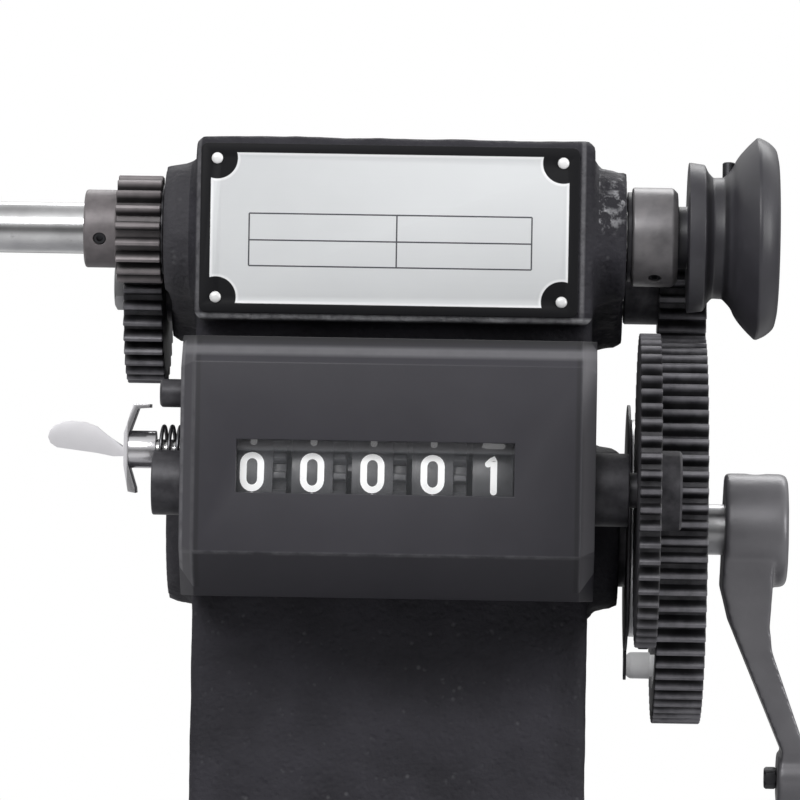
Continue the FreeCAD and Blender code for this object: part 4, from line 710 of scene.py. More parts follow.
# ---------------------------------------------------------------------------------------------
# The winding spindle: a bright ground shaft with a threaded work end, a small gear, collar
# and washers of black steel, and a pulley of black phenolic for a belt or for the hand.
# ---------------------------------------------------------------------------------------------
ground_steel = bright_metal("ground_steel", (0.78, 0.78, 0.79), 0.1, 0.000012, (6.0, 0.4, 0.4))
spindle_left, spindle_right = span_of("spindle")
SPINDLE_RADIUS, THREAD_RADIUS, THREAD_LENGTH = 5.9, 5.0, 92.0
THREAD_PITCH, THREAD_DEPTH, PLAY = 1.5, 0.62, 0.02
SPINDLE_BORE = SPINDLE_RADIUS + PLAY


def threaded_shaft(name, material, axis, start, end, thread_end, radius, crest, pitch, depth):
    """A shaft whose left stretch carries a right-hand screw thread, as one closed skin."""
    sides, per_pitch, bevel = 48, 6, 0.9
    samples = [start, start + bevel]
    x = start + bevel
    while x < thread_end - 1.0:
        x += pitch / per_pitch
        samples.append(x)
    plain = [(thread_end, radius - 0.5), (thread_end + 0.5, radius), (end - 1.2, radius),
             (end, radius - 1.2)]
    mesh = bmesh.new()
    rings = []
    for index, x in enumerate(samples):
        points = []
        for side in range(sides):
            angle = 2 * math.pi * side / sides
            phase = (x / pitch - side / sides) % 1.0
            cut = abs(2 * phase - 1) ** 1.2 * depth
            fade = min(1.0, (x - start) / 1.2, (thread_end - x) / 2.5)
            here = crest - (cut * fade if index else bevel)
            points.append((here * math.cos(angle), here * math.sin(angle)))
        rings.append(ring_at(mesh, axis, x, points))
    rings += [ring_at(mesh, axis, x, circle_points(here, sides)) for x, here in plain]
    skinned(mesh, rings, loop=False)
    mesh.faces.new(rings[0])
    mesh.faces.new(rings[-1])
    bmesh.ops.recalc_face_normals(mesh, faces=mesh.faces)
    return shade(piece_of(mesh, name, material), 40.0)


shaft = threaded_shaft("spindle_shaft", ground_steel, spindle_axis, spindle_left, spindle_right,
                       spindle_left + THREAD_LENGTH, SPINDLE_RADIUS, THREAD_RADIUS - PLAY,
                       THREAD_PITCH, THREAD_DEPTH)
put(shaft, "winding_spindle", "bright_steel", "spindle")

gear_left = span_of("spindle_gear")[0]
SPINDLE_HUB, SPINDLE_HUB_RADIUS, SPINDLE_GEAR_WIDTH = 7.6, 9.05, 10.4


def with_screw_hole(piece, axis, x, radius, depth, reach, turn):
    """Drills a blind radial hole in a hub, with its rim a little broken."""
    drill = turned("drill", piece.data.materials[0], (0, 0), 0, [
        (depth, 0), (depth, radius), (reach - 0.15, radius), (reach + 0.5, radius + 0.65),
        (reach + 3, radius + 0.65), (reach + 3, 0)], 32)
    spin = Matrix.Rotation(math.radians(turn), 4, "X") @ Matrix.Rotation(math.radians(90), 4, "Z")
    drill.data.transform(Matrix.Translation((x * MM, axis[0] * MM, axis[1] * MM)) @ spin)
    cut = piece.modifiers.new("Hole", "BOOLEAN")
    cut.object = drill
    cut.solver = "EXACT"
    applied(piece)
    bpy.data.objects.remove(drill)
    return shade(piece, 28.0)


# the spindle's pinion takes the lighter copy of the gear finish: painted light
small_gear = toothed_wheel(
    "spindle_pinion",
    gear_finish("spindle_pinion_black", spindle_axis, PINION_TEETH, WARM_LIT_GREY, WARM_LIT_WORN),
    spindle_axis, gear_left + SPINDLE_HUB, SPINDLE_GEAR_WIDTH, PINION_TEETH, spindle_turn,
    [(0, 9.6), (0, SPINDLE_HUB_RADIUS + 0.35), (-0.35, SPINDLE_HUB_RADIUS),
     (-SPINDLE_HUB + 0.5, SPINDLE_HUB_RADIUS), (-SPINDLE_HUB + 0.15, SPINDLE_HUB_RADIUS - 0.2),
     (-SPINDLE_HUB, SPINDLE_HUB_RADIUS - 0.6), (-SPINDLE_HUB, 6.4),
     (-SPINDLE_HUB + 0.4, SPINDLE_BORE)],
    [(SPINDLE_GEAR_WIDTH, 9.0), (SPINDLE_GEAR_WIDTH, 6.3),
     (SPINDLE_GEAR_WIDTH - 0.4, SPINDLE_BORE)])
HUB_SCREW_TURN, COLLAR_SCREW_TURN = 197.0, 238.0
SCREW_RADIUS, SCREW_BOTTOM = 1.5, 6.0
small_gear = with_screw_hole(small_gear, spindle_axis, gear_left + SPINDLE_HUB / 2, SCREW_RADIUS,
                             SCREW_BOTTOM, SPINDLE_HUB_RADIUS, HUB_SCREW_TURN)
put(small_gear, "winding_spindle", "black_oxide", "spindle_gear")

rounded("spindle_washers", "thrust_washers", gear_black, "winding_spindle", "black_oxide", 0.12)

collar_left, collar_right = span_of("spindle_collar")
COLLAR_LENGTH, COLLAR_RADIUS = collar_right - collar_left, 11.5
collar = turned("stop_collar", collar_black, spindle_axis, collar_left, [
    (0, SPINDLE_BORE, 0.3), (COLLAR_LENGTH, SPINDLE_BORE, 0.3),
    (COLLAR_LENGTH, COLLAR_RADIUS - 1.2, 0.3),
    (COLLAR_LENGTH - 1.2, COLLAR_RADIUS, 0.5), (0.4, COLLAR_RADIUS, 0.4),
    (0, COLLAR_RADIUS - 0.4, 0.3)])
collar = with_screw_hole(collar, spindle_axis, (collar_left + collar_right) / 2, SCREW_RADIUS,
                         SCREW_BOTTOM, COLLAR_RADIUS, COLLAR_SCREW_TURN)
put(collar, "winding_spindle", "black_oxide", "spindle_collar")


def phenolic(name, tone, rough, *shade_lines):
    """Moulded and polished black plastic: slight orange peel and rubs, painted shade in its
    corners.
    """
    finish = Finish(name, Specular_IOR_Level=0.5)
    cloud = finish.noise(90, 3)
    peel = finish.noise(1300, 3)
    rub = finish.noise(240, 5, 0.7).step(0.55, 0.75)
    colour = finish.mottled(cloud, tone, toned(tone, 1.35))
    colour = finish.mix(rub * 0.3, colour, toned(tone, 2.2))
    # painted shade along the given lines across X
    for place, half in shade_lines:
        line_shade = finish.line(finish.axis("X"), place, half)
        colour = finish.mix(line_shade * 0.6, colour, toned(tone, 0.22))
    return finish.done(colour, rough + cloud * 0.08 + rub * 0.1, (peel, 0.00002, 0.4))


pulley_left = span_of("drive_pulley")[0]
# painted shade lines at both corners of the belt groove
pulley_black = phenolic("pulley_black", (0.034, 0.033, 0.039), 0.36,
                        (pulley_left + 6.9, 0.9), (pulley_left + 11.0, 0.9))
pulley = turned("belt_pulley", pulley_black, spindle_axis, pulley_left, [
    (0, SPINDLE_BORE), (18.1, SPINDLE_BORE, 0.4), (18.1, 15.0, 1.2), (23.1, 16.6, 0.5),
    (23.1, 18.2, 0.4), (22.55, 20.8, 0.9), (20.7, 22.5, 1.0), (18.7, 23.4, 0.5),
    (18.1, 23.4, 0.4), (16.3, 21.7, 1.0), (14.4, 19.6, 1.0),
    (13.3, 18.0, 0.8), (12.5, 16.2, 0.8), (11.3, 14.9, 0.6), (10.5, 14.1, 0.4),
    (8.1, 14.0, 0.4), (6.9, 15.3, 0.5), (6.1, 17.0, 0.4), (2.4, 17.5, 0.35), (2.4, 7.5, 0.3),
    (2.1, 7.2, 0.3), (0, 7.2, 0.3)], 128, 24.0)
put(pulley, "winding_spindle", "pulley_black", "drive_pulley")

screw_black = bright_metal("screw_black", (0.06, 0.06, 0.065), 0.35, metallic=0.8)
refinish(screw_black, "spindle_gear_screw", "spindle_collar_screw", "pulley_screw",
         "crank_arm_screw", "counter_gear_screw")

# ---------------------------------------------------------------------------------------------
# Work clamps: a lock nut, two turned cones that centre the bobbin and a wing nut, all of
# bright steel, on the spindle's thread. The outer cone and the wing nut come off.
# ---------------------------------------------------------------------------------------------
turned_steel = bright_metal("turned_steel", (0.66, 0.66, 0.68), 0.22, 0.00003, (5.0, 0.6, 0.6))


def cone_outline(flip):
    """Section of a work cone, its wide flange at the right unless it is flipped."""
    outline = [(0, 5.12, 0.3), (17.0, 5.12, 0.3), (17.0, 13.6, 0.3), (16.6, 14.0, 0.3),
               (14.3, 14.0, 0.3), (13.7, 13.3, 0.4), (0.5, 6.7, 0.3), (0, 6.3, 0.2)]
    return [(17.0 - x, radius, fillet) for x, radius, fillet in outline][::-1] if flip else outline


for node, body, flip in (("inner_cone", "winding_spindle", False),
                         ("outer_cone", "clamp_cone", True)):
    cone = turned("work_" + node, turned_steel, spindle_axis, span_of(node)[0], cone_outline(flip))
    put(cone, body, "bright_steel", node)
rounded("cone_lock_nut", "lock_nut", turned_steel, "winding_spindle", "bright_steel", 0.15)
rounded("wing_nut", "clamp_wing_nut", zinc, "clamp_nut", "zinc_steel", 0.9, 3, 25.0)

# ---------------------------------------------------------------------------------------------
# The layshaft: a thin bright shaft with the large gear and its nut at the left, and at the
# right the pinion that the crank's gear turns.
# ---------------------------------------------------------------------------------------------
refinish(ground_steel, "layshaft", "reset_shaft", "carry_shaft")
# the counter's shaft is given the black gear finish: painted shade where it shows between its bush
# and gear
refinish(gear_black, "counter_shaft")
large_left, large_right = span_of("layshaft_gear")
LARGE_WIDTH, THIN_BORE = 9.2, 4.02
LARGE_HUB = large_right - large_left - LARGE_WIDTH
large_gear = toothed_wheel(
    "layshaft_wheel", gear_finish("layshaft_wheel_black", layshaft_axis, LAYSHAFT_TEETH),
    layshaft_axis, large_left, LARGE_WIDTH, LAYSHAFT_TEETH, 0.0,
    [(0, 20.0), (0, 8.4), (0, 4.4), (0.4, THIN_BORE)],
    [(LARGE_WIDTH, 20.0), (LARGE_WIDTH, 8.8), (LARGE_WIDTH + LARGE_HUB, 8.8),
     (LARGE_WIDTH + LARGE_HUB, THIN_BORE)])
put(large_gear, "step_shaft", "black_oxide", "layshaft_gear")
pinion_left, pinion_right = span_of("layshaft_pinion")
STEP_WIDTH = 11.4
PINION_HUB = pinion_right - pinion_left - STEP_WIDTH
pinion = toothed_wheel(
    "layshaft_small_gear", gear_finish("layshaft_pinion_black", layshaft_axis, PINION_TEETH),
    layshaft_axis, pinion_left + PINION_HUB, STEP_WIDTH, PINION_TEETH, pinion_turn,
    [(0, 9.0), (0, 7.8), (-PINION_HUB + 0.4, 7.8), (-PINION_HUB, 7.4), (-PINION_HUB, THIN_BORE)],
    [(STEP_WIDTH, 9.0), (STEP_WIDTH, 6.0), (STEP_WIDTH, 4.4), (STEP_WIDTH - 0.4, THIN_BORE)])
put(pinion, "step_shaft", "black_oxide", "layshaft_pinion")
nut_steel = bright_metal("nut_steel", (0.42, 0.42, 0.43), 0.3)
rounded("layshaft_nut", "layshaft_lock_nut", nut_steel, "step_shaft", "zinc_steel", 0.15)

# ---------------------------------------------------------------------------------------------
# The crank: a shaft with the large gear and the counter's drive gear, a cast arm painted dark
# grey and a turned grip on a shouldered bolt.
# ---------------------------------------------------------------------------------------------
crank_gear_left = span_of("crank_gear")[0]
WEB_RECESS, CRANK_BORE = 2.7, 6.02
CRANK_FACE = [
    (0, 42.4), (0, 38.0), (0.4, 37.5), (WEB_RECESS - 0.4, 37.2), (WEB_RECESS, 36.8),
    (WEB_RECESS, 14.4), (WEB_RECESS - 0.4, 14.0), (0.4, 14.0), (0, 13.6), (0, CRANK_BORE)]
main_gear = toothed_wheel(
    "crank_wheel", gear_finish("crank_wheel_black", crank_axis, CRANK_TEETH), crank_axis,
    crank_gear_left, STEP_WIDTH, CRANK_TEETH, 0.0, CRANK_FACE,
    [(STEP_WIDTH - x, radius) for x, radius in CRANK_FACE])
put(main_gear, "crank", "black_oxide", "crank_gear")

DRUM_LENGTH, DRUM_RADIUS, DRIVE_WIDTH = 2.5, 25.8, 2.5


def drive_gear_finish():
    """Blacked like the others, but for the plain drum at its left, which is ground bright."""
    finish = Finish("drive_gear_black", Specular_IOR_Level=0.5)
    bright = finish.axis("X") < drive_left + DRUM_LENGTH - 0.02
    cloud = finish.noise(150, 4)
    black = finish.mottled(cloud, (0.03, 0.0295, 0.033), (0.06, 0.059, 0.064))
    return finish.done(finish.mix(bright, black, (0.86, 0.86, 0.87)),
                       0.38 + cloud * 0.1 - bright * 0.08, (cloud, 0.00002, 0.4),
                       Metallic=0.3 + bright * 0.2)


drive_left, drive_right = span_of("counter_drive_gear")
DRIVE_HUB_END = drive_right - drive_left - DRUM_LENGTH
drive_gear = toothed_wheel(
    "counter_drive_wheel", drive_gear_finish(), crank_axis, drive_left + DRUM_LENGTH, DRIVE_WIDTH,
    DRIVE_TEETH, 0.0,
    [(0, DRUM_RADIUS), (0.2 - DRUM_LENGTH, DRUM_RADIUS), (-DRUM_LENGTH, DRUM_RADIUS - 0.2),
     (-DRUM_LENGTH, 6.4), (0.4 - DRUM_LENGTH, CRANK_BORE)],
    [(DRIVE_WIDTH, 25.2), (DRIVE_WIDTH, 12.0), (DRIVE_HUB_END, 12.0),
     (DRIVE_HUB_END, CRANK_BORE)])
put(drive_gear, "crank", "black_oxide", "counter_drive_gear")
refinish(zinc, "brake_screws")
rounded("brake_spring", "brake_spring_plate", gear_black, "stand", "zinc_steel", 0.12)


def button_zinc():
    """Bright zinc plate, painted lighter on top and darker below, with a little light of its own
    against the shadow.
    """
    finish = Finish("button_zinc", Metallic=0.1, Emission_Strength=0.3)
    cloud = finish.noise(300, 3)
    # painted light: the top lighter, the lower part darker
    upper = (finish.axis("Z") - centre_of("brake_button")[1] + cloud * 1.6).step(-1.8, 2.6)
    colour = finish.mix(upper, (0.4, 0.4, 0.41), (0.98, 0.98, 0.99))
    return finish.done(colour, 0.3 + cloud * 0.1, Emission_Color=colour)


button_left, button_right = span_of("brake_button")
BUTTON_LENGTH = button_right - button_left
button = turned("brake_pad_button", button_zinc(), centre_of("brake_button"), button_left, [
    (0, 0), (0, 2.0, 0.2), (0.7, 2.0), (0.7, 2.4, 0.2), (1.5, 3.15, 0.6), (6.3, 3.15, 0.5),
    (6.3, 2.6), (BUTTON_LENGTH, 2.6, 0.2), (BUTTON_LENGTH, 0)], 64)
put(button, "stand", "zinc_steel", "brake_button")
# a darker copy of the ground steel for the crank's shaft: painted shade
crank_steel = bright_metal("crank_steel", (0.5, 0.5, 0.51), 0.2, 0.00003, (6.0, 0.4, 0.4))
refinish(crank_steel, "crank_shaft")
refinish(gear_black, "crank_shaft_collar")


def grey_enamel():
    """Dark grey enamel on a tumbled casting: satin, a little mottled."""
    finish = Finish("grey_enamel", Specular_IOR_Level=0.5, Metallic=0.25)
    cloud = finish.noise(70, 4)
    skin = finish.noise(700, 4, 0.6)
    return finish.done(finish.mottled(cloud, (0.134, 0.131, 0.141), (0.178, 0.175, 0.186)),
                       0.28 + cloud * 0.1, (skin, 0.00008, 0.5))


ARM_GRAIN, ARM_LUMPS = 0.5 * MM, 0.05
arm = sand_cast(merged("crank_arm"), "crank_arm_casting", grey_enamel(), ARM_GRAIN, 4,
                lambda place: ARM_LUMPS, lambda place: 1.0)
put(arm, "crank", "arm_paint", "crank_arm")
refinish(zinc, "grip_bolt")
rounded("grip_nut", "grip_lock_nut", screw_black, "crank", "dark_screw", 0.12)
grip_left = span_of("crank_grip")[0]
grip_black = phenolic("grip_black", (0.013, 0.013, 0.014), 0.24)
grip = turned("hand_grip", grip_black, grip_axis, grip_left, [
    (0, 3.05), (58, 3.05, 0.3), (58, 7.9, 0.8), (56.3, 9.8, 2.0), (52.2, 11.0, 3.0),
    (41.8, 10.95, 6.0), (26.0, 10.2, 7.0), (11.6, 7.85, 4.0), (4.6, 7.1, 1.6), (1.7, 7.4, 0.8),
    (0, 6.7, 0.4)], 96, 24.0)
put(grip, "grip", "grip_plastic", "crank_grip")

# ---------------------------------------------------------------------------------------------
# The counter's cover: pressed steel in satin black enamel, with bevelled edges and a long
# window for the figures behind a clear pane.
# ---------------------------------------------------------------------------------------------
COVER_EDGE, COVER_RIDGE, COVER_FOLD, COVER_FRONT = 43.4, 156.3, 110.9, -72.0
LIGHT_BAND_LOW, LIGHT_BAND_HIGH = 133.6, 134.4


def satin_enamel():
    """Satin black enamel with painted light: lighter side bevels, highlights along its edges and
    bends (partly wear) and on its ridge, shade below the lower fold and along the bevels, and
    the head's shadow over the top.
    """
    finish = Finish("satin_enamel", Specular_IOR_Level=0.5)
    x, y, z = finish.axis("X"), finish.axis("Y"), finish.axis("Z")
    across = abs(x)
    cloud = finish.noise(38, 5, 0.6)
    fine = finish.noise(260, 4, 0.6)
    peel = finish.noise(1100, 3)
    dust = finish.cells(420).step(0.0, 0.07)
    front = y < COVER_FRONT
    flank = across.step(COVER_EDGE - 0.2, COVER_EDGE + 0.3) * front
    bevel_shade_line = finish.line(across, COVER_EDGE - 0.9, 0.7) * front
    upright_highlight = finish.line(across, COVER_EDGE + 0.15, 0.6) * front
    fold = finish.line(z, COVER_FOLD, 0.55) * front
    lit = finish.line(z, COVER_RIDGE, 1.5) * front
    head_shadow = z.step(COVER_RIDGE + 0.7, COVER_RIDGE + 2.6)
    under_fold_shade = (z < COVER_FOLD) * (across < COVER_EDGE)
    rim = finish.line(x, -COVER_EDGE - 2.7, 0.5) * front
    colour = finish.mix(cloud.step(0.32, 0.7), (0.0258, 0.0246, 0.0315), (0.0325, 0.031, 0.039))
    colour = finish.coated(
        colour,
        # painted light: lighter side bevels, lightest on the right
        (flank * 0.8, (0.07, 0.068, 0.077)),
        (flank * (x > 0) * 0.8, (0.15, 0.147, 0.158)),
        # painted shade below the lower fold
        (under_fold_shade * 0.3, (0.012, 0.0115, 0.0145)),
        # painted shade line along the inner edge of each side bevel
        (bevel_shade_line * 0.5, (0.009, 0.0088, 0.0105)),
        ((1 - dust) * fine.step(0.6, 0.72) * 0.5, (0.14, 0.14, 0.15)),
        # painted highlight, partly wear, along the bevels' outer edges and the lower fold
        (upright_highlight * (0.2 + fine.step(0.3, 0.62) * 0.4), (0.1, 0.099, 0.107)),
        (fold * fine.step(0.3, 0.62) * 0.6, (0.1, 0.099, 0.107)),
        # painted highlight line along the cover's left edge
        (rim * fine.step(0.25, 0.6) * 0.7, (0.19, 0.188, 0.2)),
        # painted highlight along the top ridge
        (lit * (0.5 + fine * 0.3), (0.17, 0.168, 0.18)),
        # painted shadow of the head over the cover's top
        (head_shadow * 0.85, (0.006, 0.006, 0.007)))
    return finish.done(colour, 0.42 + cloud * 0.12 + fine * 0.06, (peel, 0.00003, 0.4))


rounded("counter_cover", "counter_housing", satin_enamel(), "stand", "cover_paint", 0.7, 3, 25.0)


def clear_acrylic():
    """Thin clear acrylic, hazed by handling, with a painted band of light along its upper edge
    that is paler and less clear.
    """
    finish = Finish("clear_acrylic", Specular_IOR_Level=0.5)
    haze = finish.noise(240, 4, 0.7)
    # painted light: a pale, less clear band along the top of the pane
    milky = finish.axis("Z").step(LIGHT_BAND_LOW, LIGHT_BAND_HIGH)
    return finish.done(finish.mix(milky, (0.3, 0.31, 0.33), (0.17, 0.17, 0.18)),
                       0.12 + haze * 0.1 + milky * 0.3,
                       Alpha=0.06 + haze.step(0.5, 0.8) * 0.06 + milky * 0.4)


refinish(clear_acrylic(), "counter_window")
refinish(bright_metal("dull_zinc", (0.4, 0.41, 0.42), 0.35), "counter_chassis")
refinish(zinc, "counter_screws")
rounded("counter_bushes", "counter_bearings", gear_black, "stand", "black_oxide", 0.35)
rounded("counter_stop_pin", "stop_pin", gear_black, "stand", "black_oxide", 0.2)

# ---------------------------------------------------------------------------------------------
# Number wheels: five black plastic drums on the counter's shaft, each with the white figures
# 0 to 9 printed round its rim. The counter stands at one turn.
# ---------------------------------------------------------------------------------------------
WHEEL_RADIUS, FIGURE_STEP = 15.0, 36.0
FIGURE_WIDTH, FIGURE_HEIGHT, STROKE = 5.4, 9.1, 1.5
FIGURE_GAP, FIGURE_PLACE = 6.0, 168.0
INK_TOP, INK_ROOT = 0.07, -0.1
SHOWN = {1: 1, 2: 0, 3: 0, 4: 0, 5: 0}


def drum_plastic():
    """Moulded black plastic, scuffed round the rim."""
    finish = Finish("drum_plastic", Specular_IOR_Level=0.5)
    cloud = finish.noise(160, 4)
    scuff = finish.noise(500, 4, 0.6, finish.stretched((1.0, 0.2, 0.2))).step(0.5, 0.8)
    colour = finish.mottled(cloud, (0.05, 0.05, 0.054), (0.1, 0.1, 0.107))
    return finish.done(finish.mix(scuff * 0.4, colour, (0.16, 0.16, 0.17)),
                       0.3 + cloud * 0.15, (scuff, 0.00003, 0.4))


def white_ink():
    """White printing ink, with a little light of its own so that it reads behind the pane."""
    finish = Finish("white_ink", Specular_IOR_Level=0.3, Emission_Color=(1.0, 1.0, 1.0),
                    Emission_Strength=0.3)
    cloud = finish.noise(300, 3)
    return finish.done(finish.mix(cloud, (0.95, 0.95, 0.95), (1.0, 1.0, 1.0)),
                       0.45 + cloud * 0.1, (cloud, 0.00001, 0.3))


drum_black, figure_white = drum_plastic(), white_ink()


def bow(centre, radii, start, end, steps=10):
    """Points on an arc, from one angle to another in degrees."""
    return [(centre[0] + radii[0] * math.cos(math.radians(start + (end - start) * k / steps)),
             centre[1] + radii[1] * math.sin(math.radians(start + (end - start) * k / steps)))
            for k in range(steps + 1)]


def figure_strokes(figure):
    """A figure's strokes in a box from -1 to 1, each a run of points and whether it closes."""
    top, low = bow((0, 0.45), (1, 0.55), 180, 0), bow((0, -0.45), (1, 0.55), 0, -180)
    return {
        0: [(top + low, True)],
        1: [([(-0.55, 0.66), (0.1, 1.0), (0.1, -1.0)], False)],
        2: [(bow((0, 0.45), (1, 0.55), 165, -35) + [(-1, -1), (1, -1)], False)],
        3: [(bow((0, 0.5), (0.92, 0.5), 150, -90), False),
            (bow((0, -0.5), (1, 0.5), 90, -150), False)],
        4: [([(0.45, -1), (0.45, 1), (-1, -0.45), (1, -0.45)], False)],
        5: [([(0.9, 1), (-0.8, 1), (-0.9, 0.12)] + bow((0, -0.38), (1, 0.62), 120, -150), False)],
        6: [(bow((0, -0.42), (1, 0.58), 180, -180, 20), True),
            ([(-1, -0.42)] + bow((0.15, 0.3), (1.15, 0.7), 180, 60), False)],
        7: [([(-1, 1), (1, 1), (-0.25, -1)], False)],
        8: [(bow((0, 0.5), (0.86, 0.48), -90, 270, 20), True),
            (bow((0, -0.5), (1, 0.5), 90, -270, 20), True)],
        9: [(bow((0, 0.42), (1, 0.58), 0, 360, 20), True),
            ([(1, 0.42)] + bow((-0.15, -0.3), (1.15, 0.7), 0, -120), False)],
    }[figure]


def inked_stroke(mesh, points, closed, wrap):
    """One printed stroke: a strip of even width with round ends, wrapped on the drum."""
    half = STROKE / 2
    run = [Vector((x * (FIGURE_WIDTH / 2 - half), y * (FIGURE_HEIGHT / 2 - half)))
           for x, y in points]
    fine = []
    for index in range(len(run) if closed else len(run) - 1):
        here, after = run[index], run[(index + 1) % len(run)]
        steps = max(1, int((after - here).length / 0.5))
        fine += [here.lerp(after, step / steps) for step in range(steps)]
    if not closed:
        fine.append(run[-1])
    count = len(fine)
    sides = []
    for index, here in enumerate(fine):
        back = fine[index - 1] if closed or index else here
        on = fine[(index + 1) % count] if closed or index < count - 1 else here
        along = (on - back).normalized()
        normal = Vector((-along.y, along.x)) * half
        sides.append((here + normal, here - normal))
    strips = [[wrap(a, lift) for a, _ in sides] for lift in (0, 1)]
    strips += [[wrap(b, lift) for _, b in sides] for lift in (1, 0)]
    made = [[mesh.verts.new(place) for place in strip] for strip in strips]
    span = count if closed else count - 1
    for row in range(4):
        for index in range(span):
            follow = (index + 1) % count
            mesh.faces.new((made[row][index], made[row][follow],
                            made[(row + 1) % 4][follow], made[(row + 1) % 4][index]))
    if not closed:
        for index in (0, -1):
            mesh.faces.new([made[row][index] for row in range(4)])
            disc(mesh, fine[index], half, wrap)


def disc(mesh, centre, radius, wrap):
    """The round end of a stroke."""
    rings = [[mesh.verts.new(wrap(centre + Vector(point) * radius, lift))
              for point in circle_points(1.0, 16)] for lift in (0, 1)]
    skinned(mesh, rings, loop=False)
    mesh.faces.new(rings[1])
    mesh.faces.new(rings[0])


def figures(number, centre_x):
    """All ten figures of a drum; the one that shows has a wider gap above it."""
    mesh = bmesh.new()
    for figure in range(10):
        middle = FIGURE_PLACE - FIGURE_STEP * (figure - SHOWN[number])
        if figure > SHOWN[number]:
            middle -= FIGURE_GAP * (1 - (figure - SHOWN[number] - 1) / 9)

        def wrap(point, lift):
            angle = math.radians(middle) - point.y / WHEEL_RADIUS
            radius = WHEEL_RADIUS + (INK_TOP if lift else INK_ROOT)
            return ((centre_x + point.x) * MM, (counter_axis[0] + radius * math.cos(angle)) * MM,
                    (counter_axis[1] + radius * math.sin(angle)) * MM)

        for points, closed in figure_strokes(figure):
            inked_stroke(mesh, points, closed, wrap)
    bmesh.ops.recalc_face_normals(mesh, faces=mesh.faces)
    return shade(piece_of(mesh, "figures_%d" % number, figure_white), 30.0)


MIDDLE_WHEEL, WHEEL_PITCH = -3.4, 13.5
for number in range(1, 6):
    body = "units_wheel" if number == 1 else "wheel_%d" % number
    rounded("number_wheel_%d" % number, "number_drum_%d" % number, drum_black, body,
            "wheel_plastic", 0.15, 2, 28.0)
    put(figures(number, MIDDLE_WHEEL + WHEEL_PITCH * (3 - number)), body, "wheel_plastic")


def acetal():
    """Natural acetal, a slightly yellow white plastic."""
    finish = Finish("acetal", Specular_IOR_Level=0.5)
    cloud = finish.noise(300, 3)
    return finish.done(finish.mix(cloud, (0.6, 0.59, 0.55), (0.72, 0.71, 0.67)),
                       0.4 + cloud * 0.1, (cloud, 0.00002, 0.3))


refinish(acetal(), "carry_pinion_1", "carry_pinion_2", "carry_pinion_3", "carry_pinion_4",
         "reset_gear", "reset_pinion")

counter_left, counter_right = span_of("counter_gear")
COUNTER_WIDTH, COUNTER_HUB_RADIUS = 4.8, 9.1
HUB_END = counter_right - counter_left
# the counter's gear takes the darker copy of the gear finish: painted shade
counter_gear = toothed_wheel(
    "counter_wheel_gear",
    gear_finish("counter_wheel_black", counter_axis, COUNTER_TEETH, DULL_SHADED_GREY, DULL_SHADED_WORN_LIT),
    counter_axis, counter_left, COUNTER_WIDTH, COUNTER_TEETH, counter_turn,
    [(0, 32.0), (0, 12.0), (0, 4.4), (0.4, THIN_BORE)],
    [(COUNTER_WIDTH, 32.0), (COUNTER_WIDTH, 9.5), (COUNTER_WIDTH + 0.4, COUNTER_HUB_RADIUS),
     (HUB_END - 0.5, COUNTER_HUB_RADIUS), (HUB_END, 8.6), (HUB_END, 4.4),
     (HUB_END - 0.4, THIN_BORE)])
COUNTER_SCREW_INSET, COUNTER_SCREW_BOTTOM, COUNTER_SCREW_TURN = 2.65, 4.2, 60.0
counter_gear = with_screw_hole(counter_gear, counter_axis, counter_right - COUNTER_SCREW_INSET,
                               SCREW_RADIUS, COUNTER_SCREW_BOTTOM, COUNTER_HUB_RADIUS,
                               COUNTER_SCREW_TURN)
put(counter_gear, "units_wheel", "black_oxide", "counter_gear")

# ---------------------------------------------------------------------------------------------
# Zero setting: a nickel-plated wing on a short shaft, pushed outwards by an open wire coil.
# Turning the wing brings all the drums back to nought.
# ---------------------------------------------------------------------------------------------
HUB_PLACE, LEAF_ROOT, LEAF_SLOPE = -60.2, (-62.0, 134.6), 0.8


def plated_nickel():
    """Nickel plate: milky on the leaf, bright on the turned hub, with painted shade along the
    leaf's bent edge.
    """
    finish = Finish("nickel", Specular_IOR_Level=0.5)
    x, z = finish.axis("X"), finish.axis("Z")
    hub = x.step(HUB_PLACE - 0.2, HUB_PLACE + 0.2)
    cloud = finish.noise(150, 3)
    marks = finish.noise(900, 4, 0.6, finish.stretched((1.5, 1.0, 1.0)))
    bend = (z - LEAF_ROOT[1]) + (x - LEAF_ROOT[0]) * LEAF_SLOPE
    # painted shade: a dark line along the leaf's bent edge
    edge = bend.step(-0.5, -0.1) * (x > LEAF_ROOT[0] - 6.0) * (x < LEAF_ROOT[0] + 0.6)
    colour = finish.mix(cloud, (0.75, 0.74, 0.765), (0.82, 0.81, 0.835))
    return finish.done(finish.mix(edge * 0.9, colour, (0.03, 0.03, 0.033)),
                       0.36 - hub * 0.18 + marks * 0.08, (marks, 0.00003, 0.5),
                       Metallic=0.25 + hub * 0.7)


rounded("reset_wing", "zero_wing", plated_nickel(), "zero_wing", "chrome_wing", 0.3, 3, 25.0)
spring_wire = bright_metal("spring_wire", (0.16, 0.16, 0.17), 0.25)


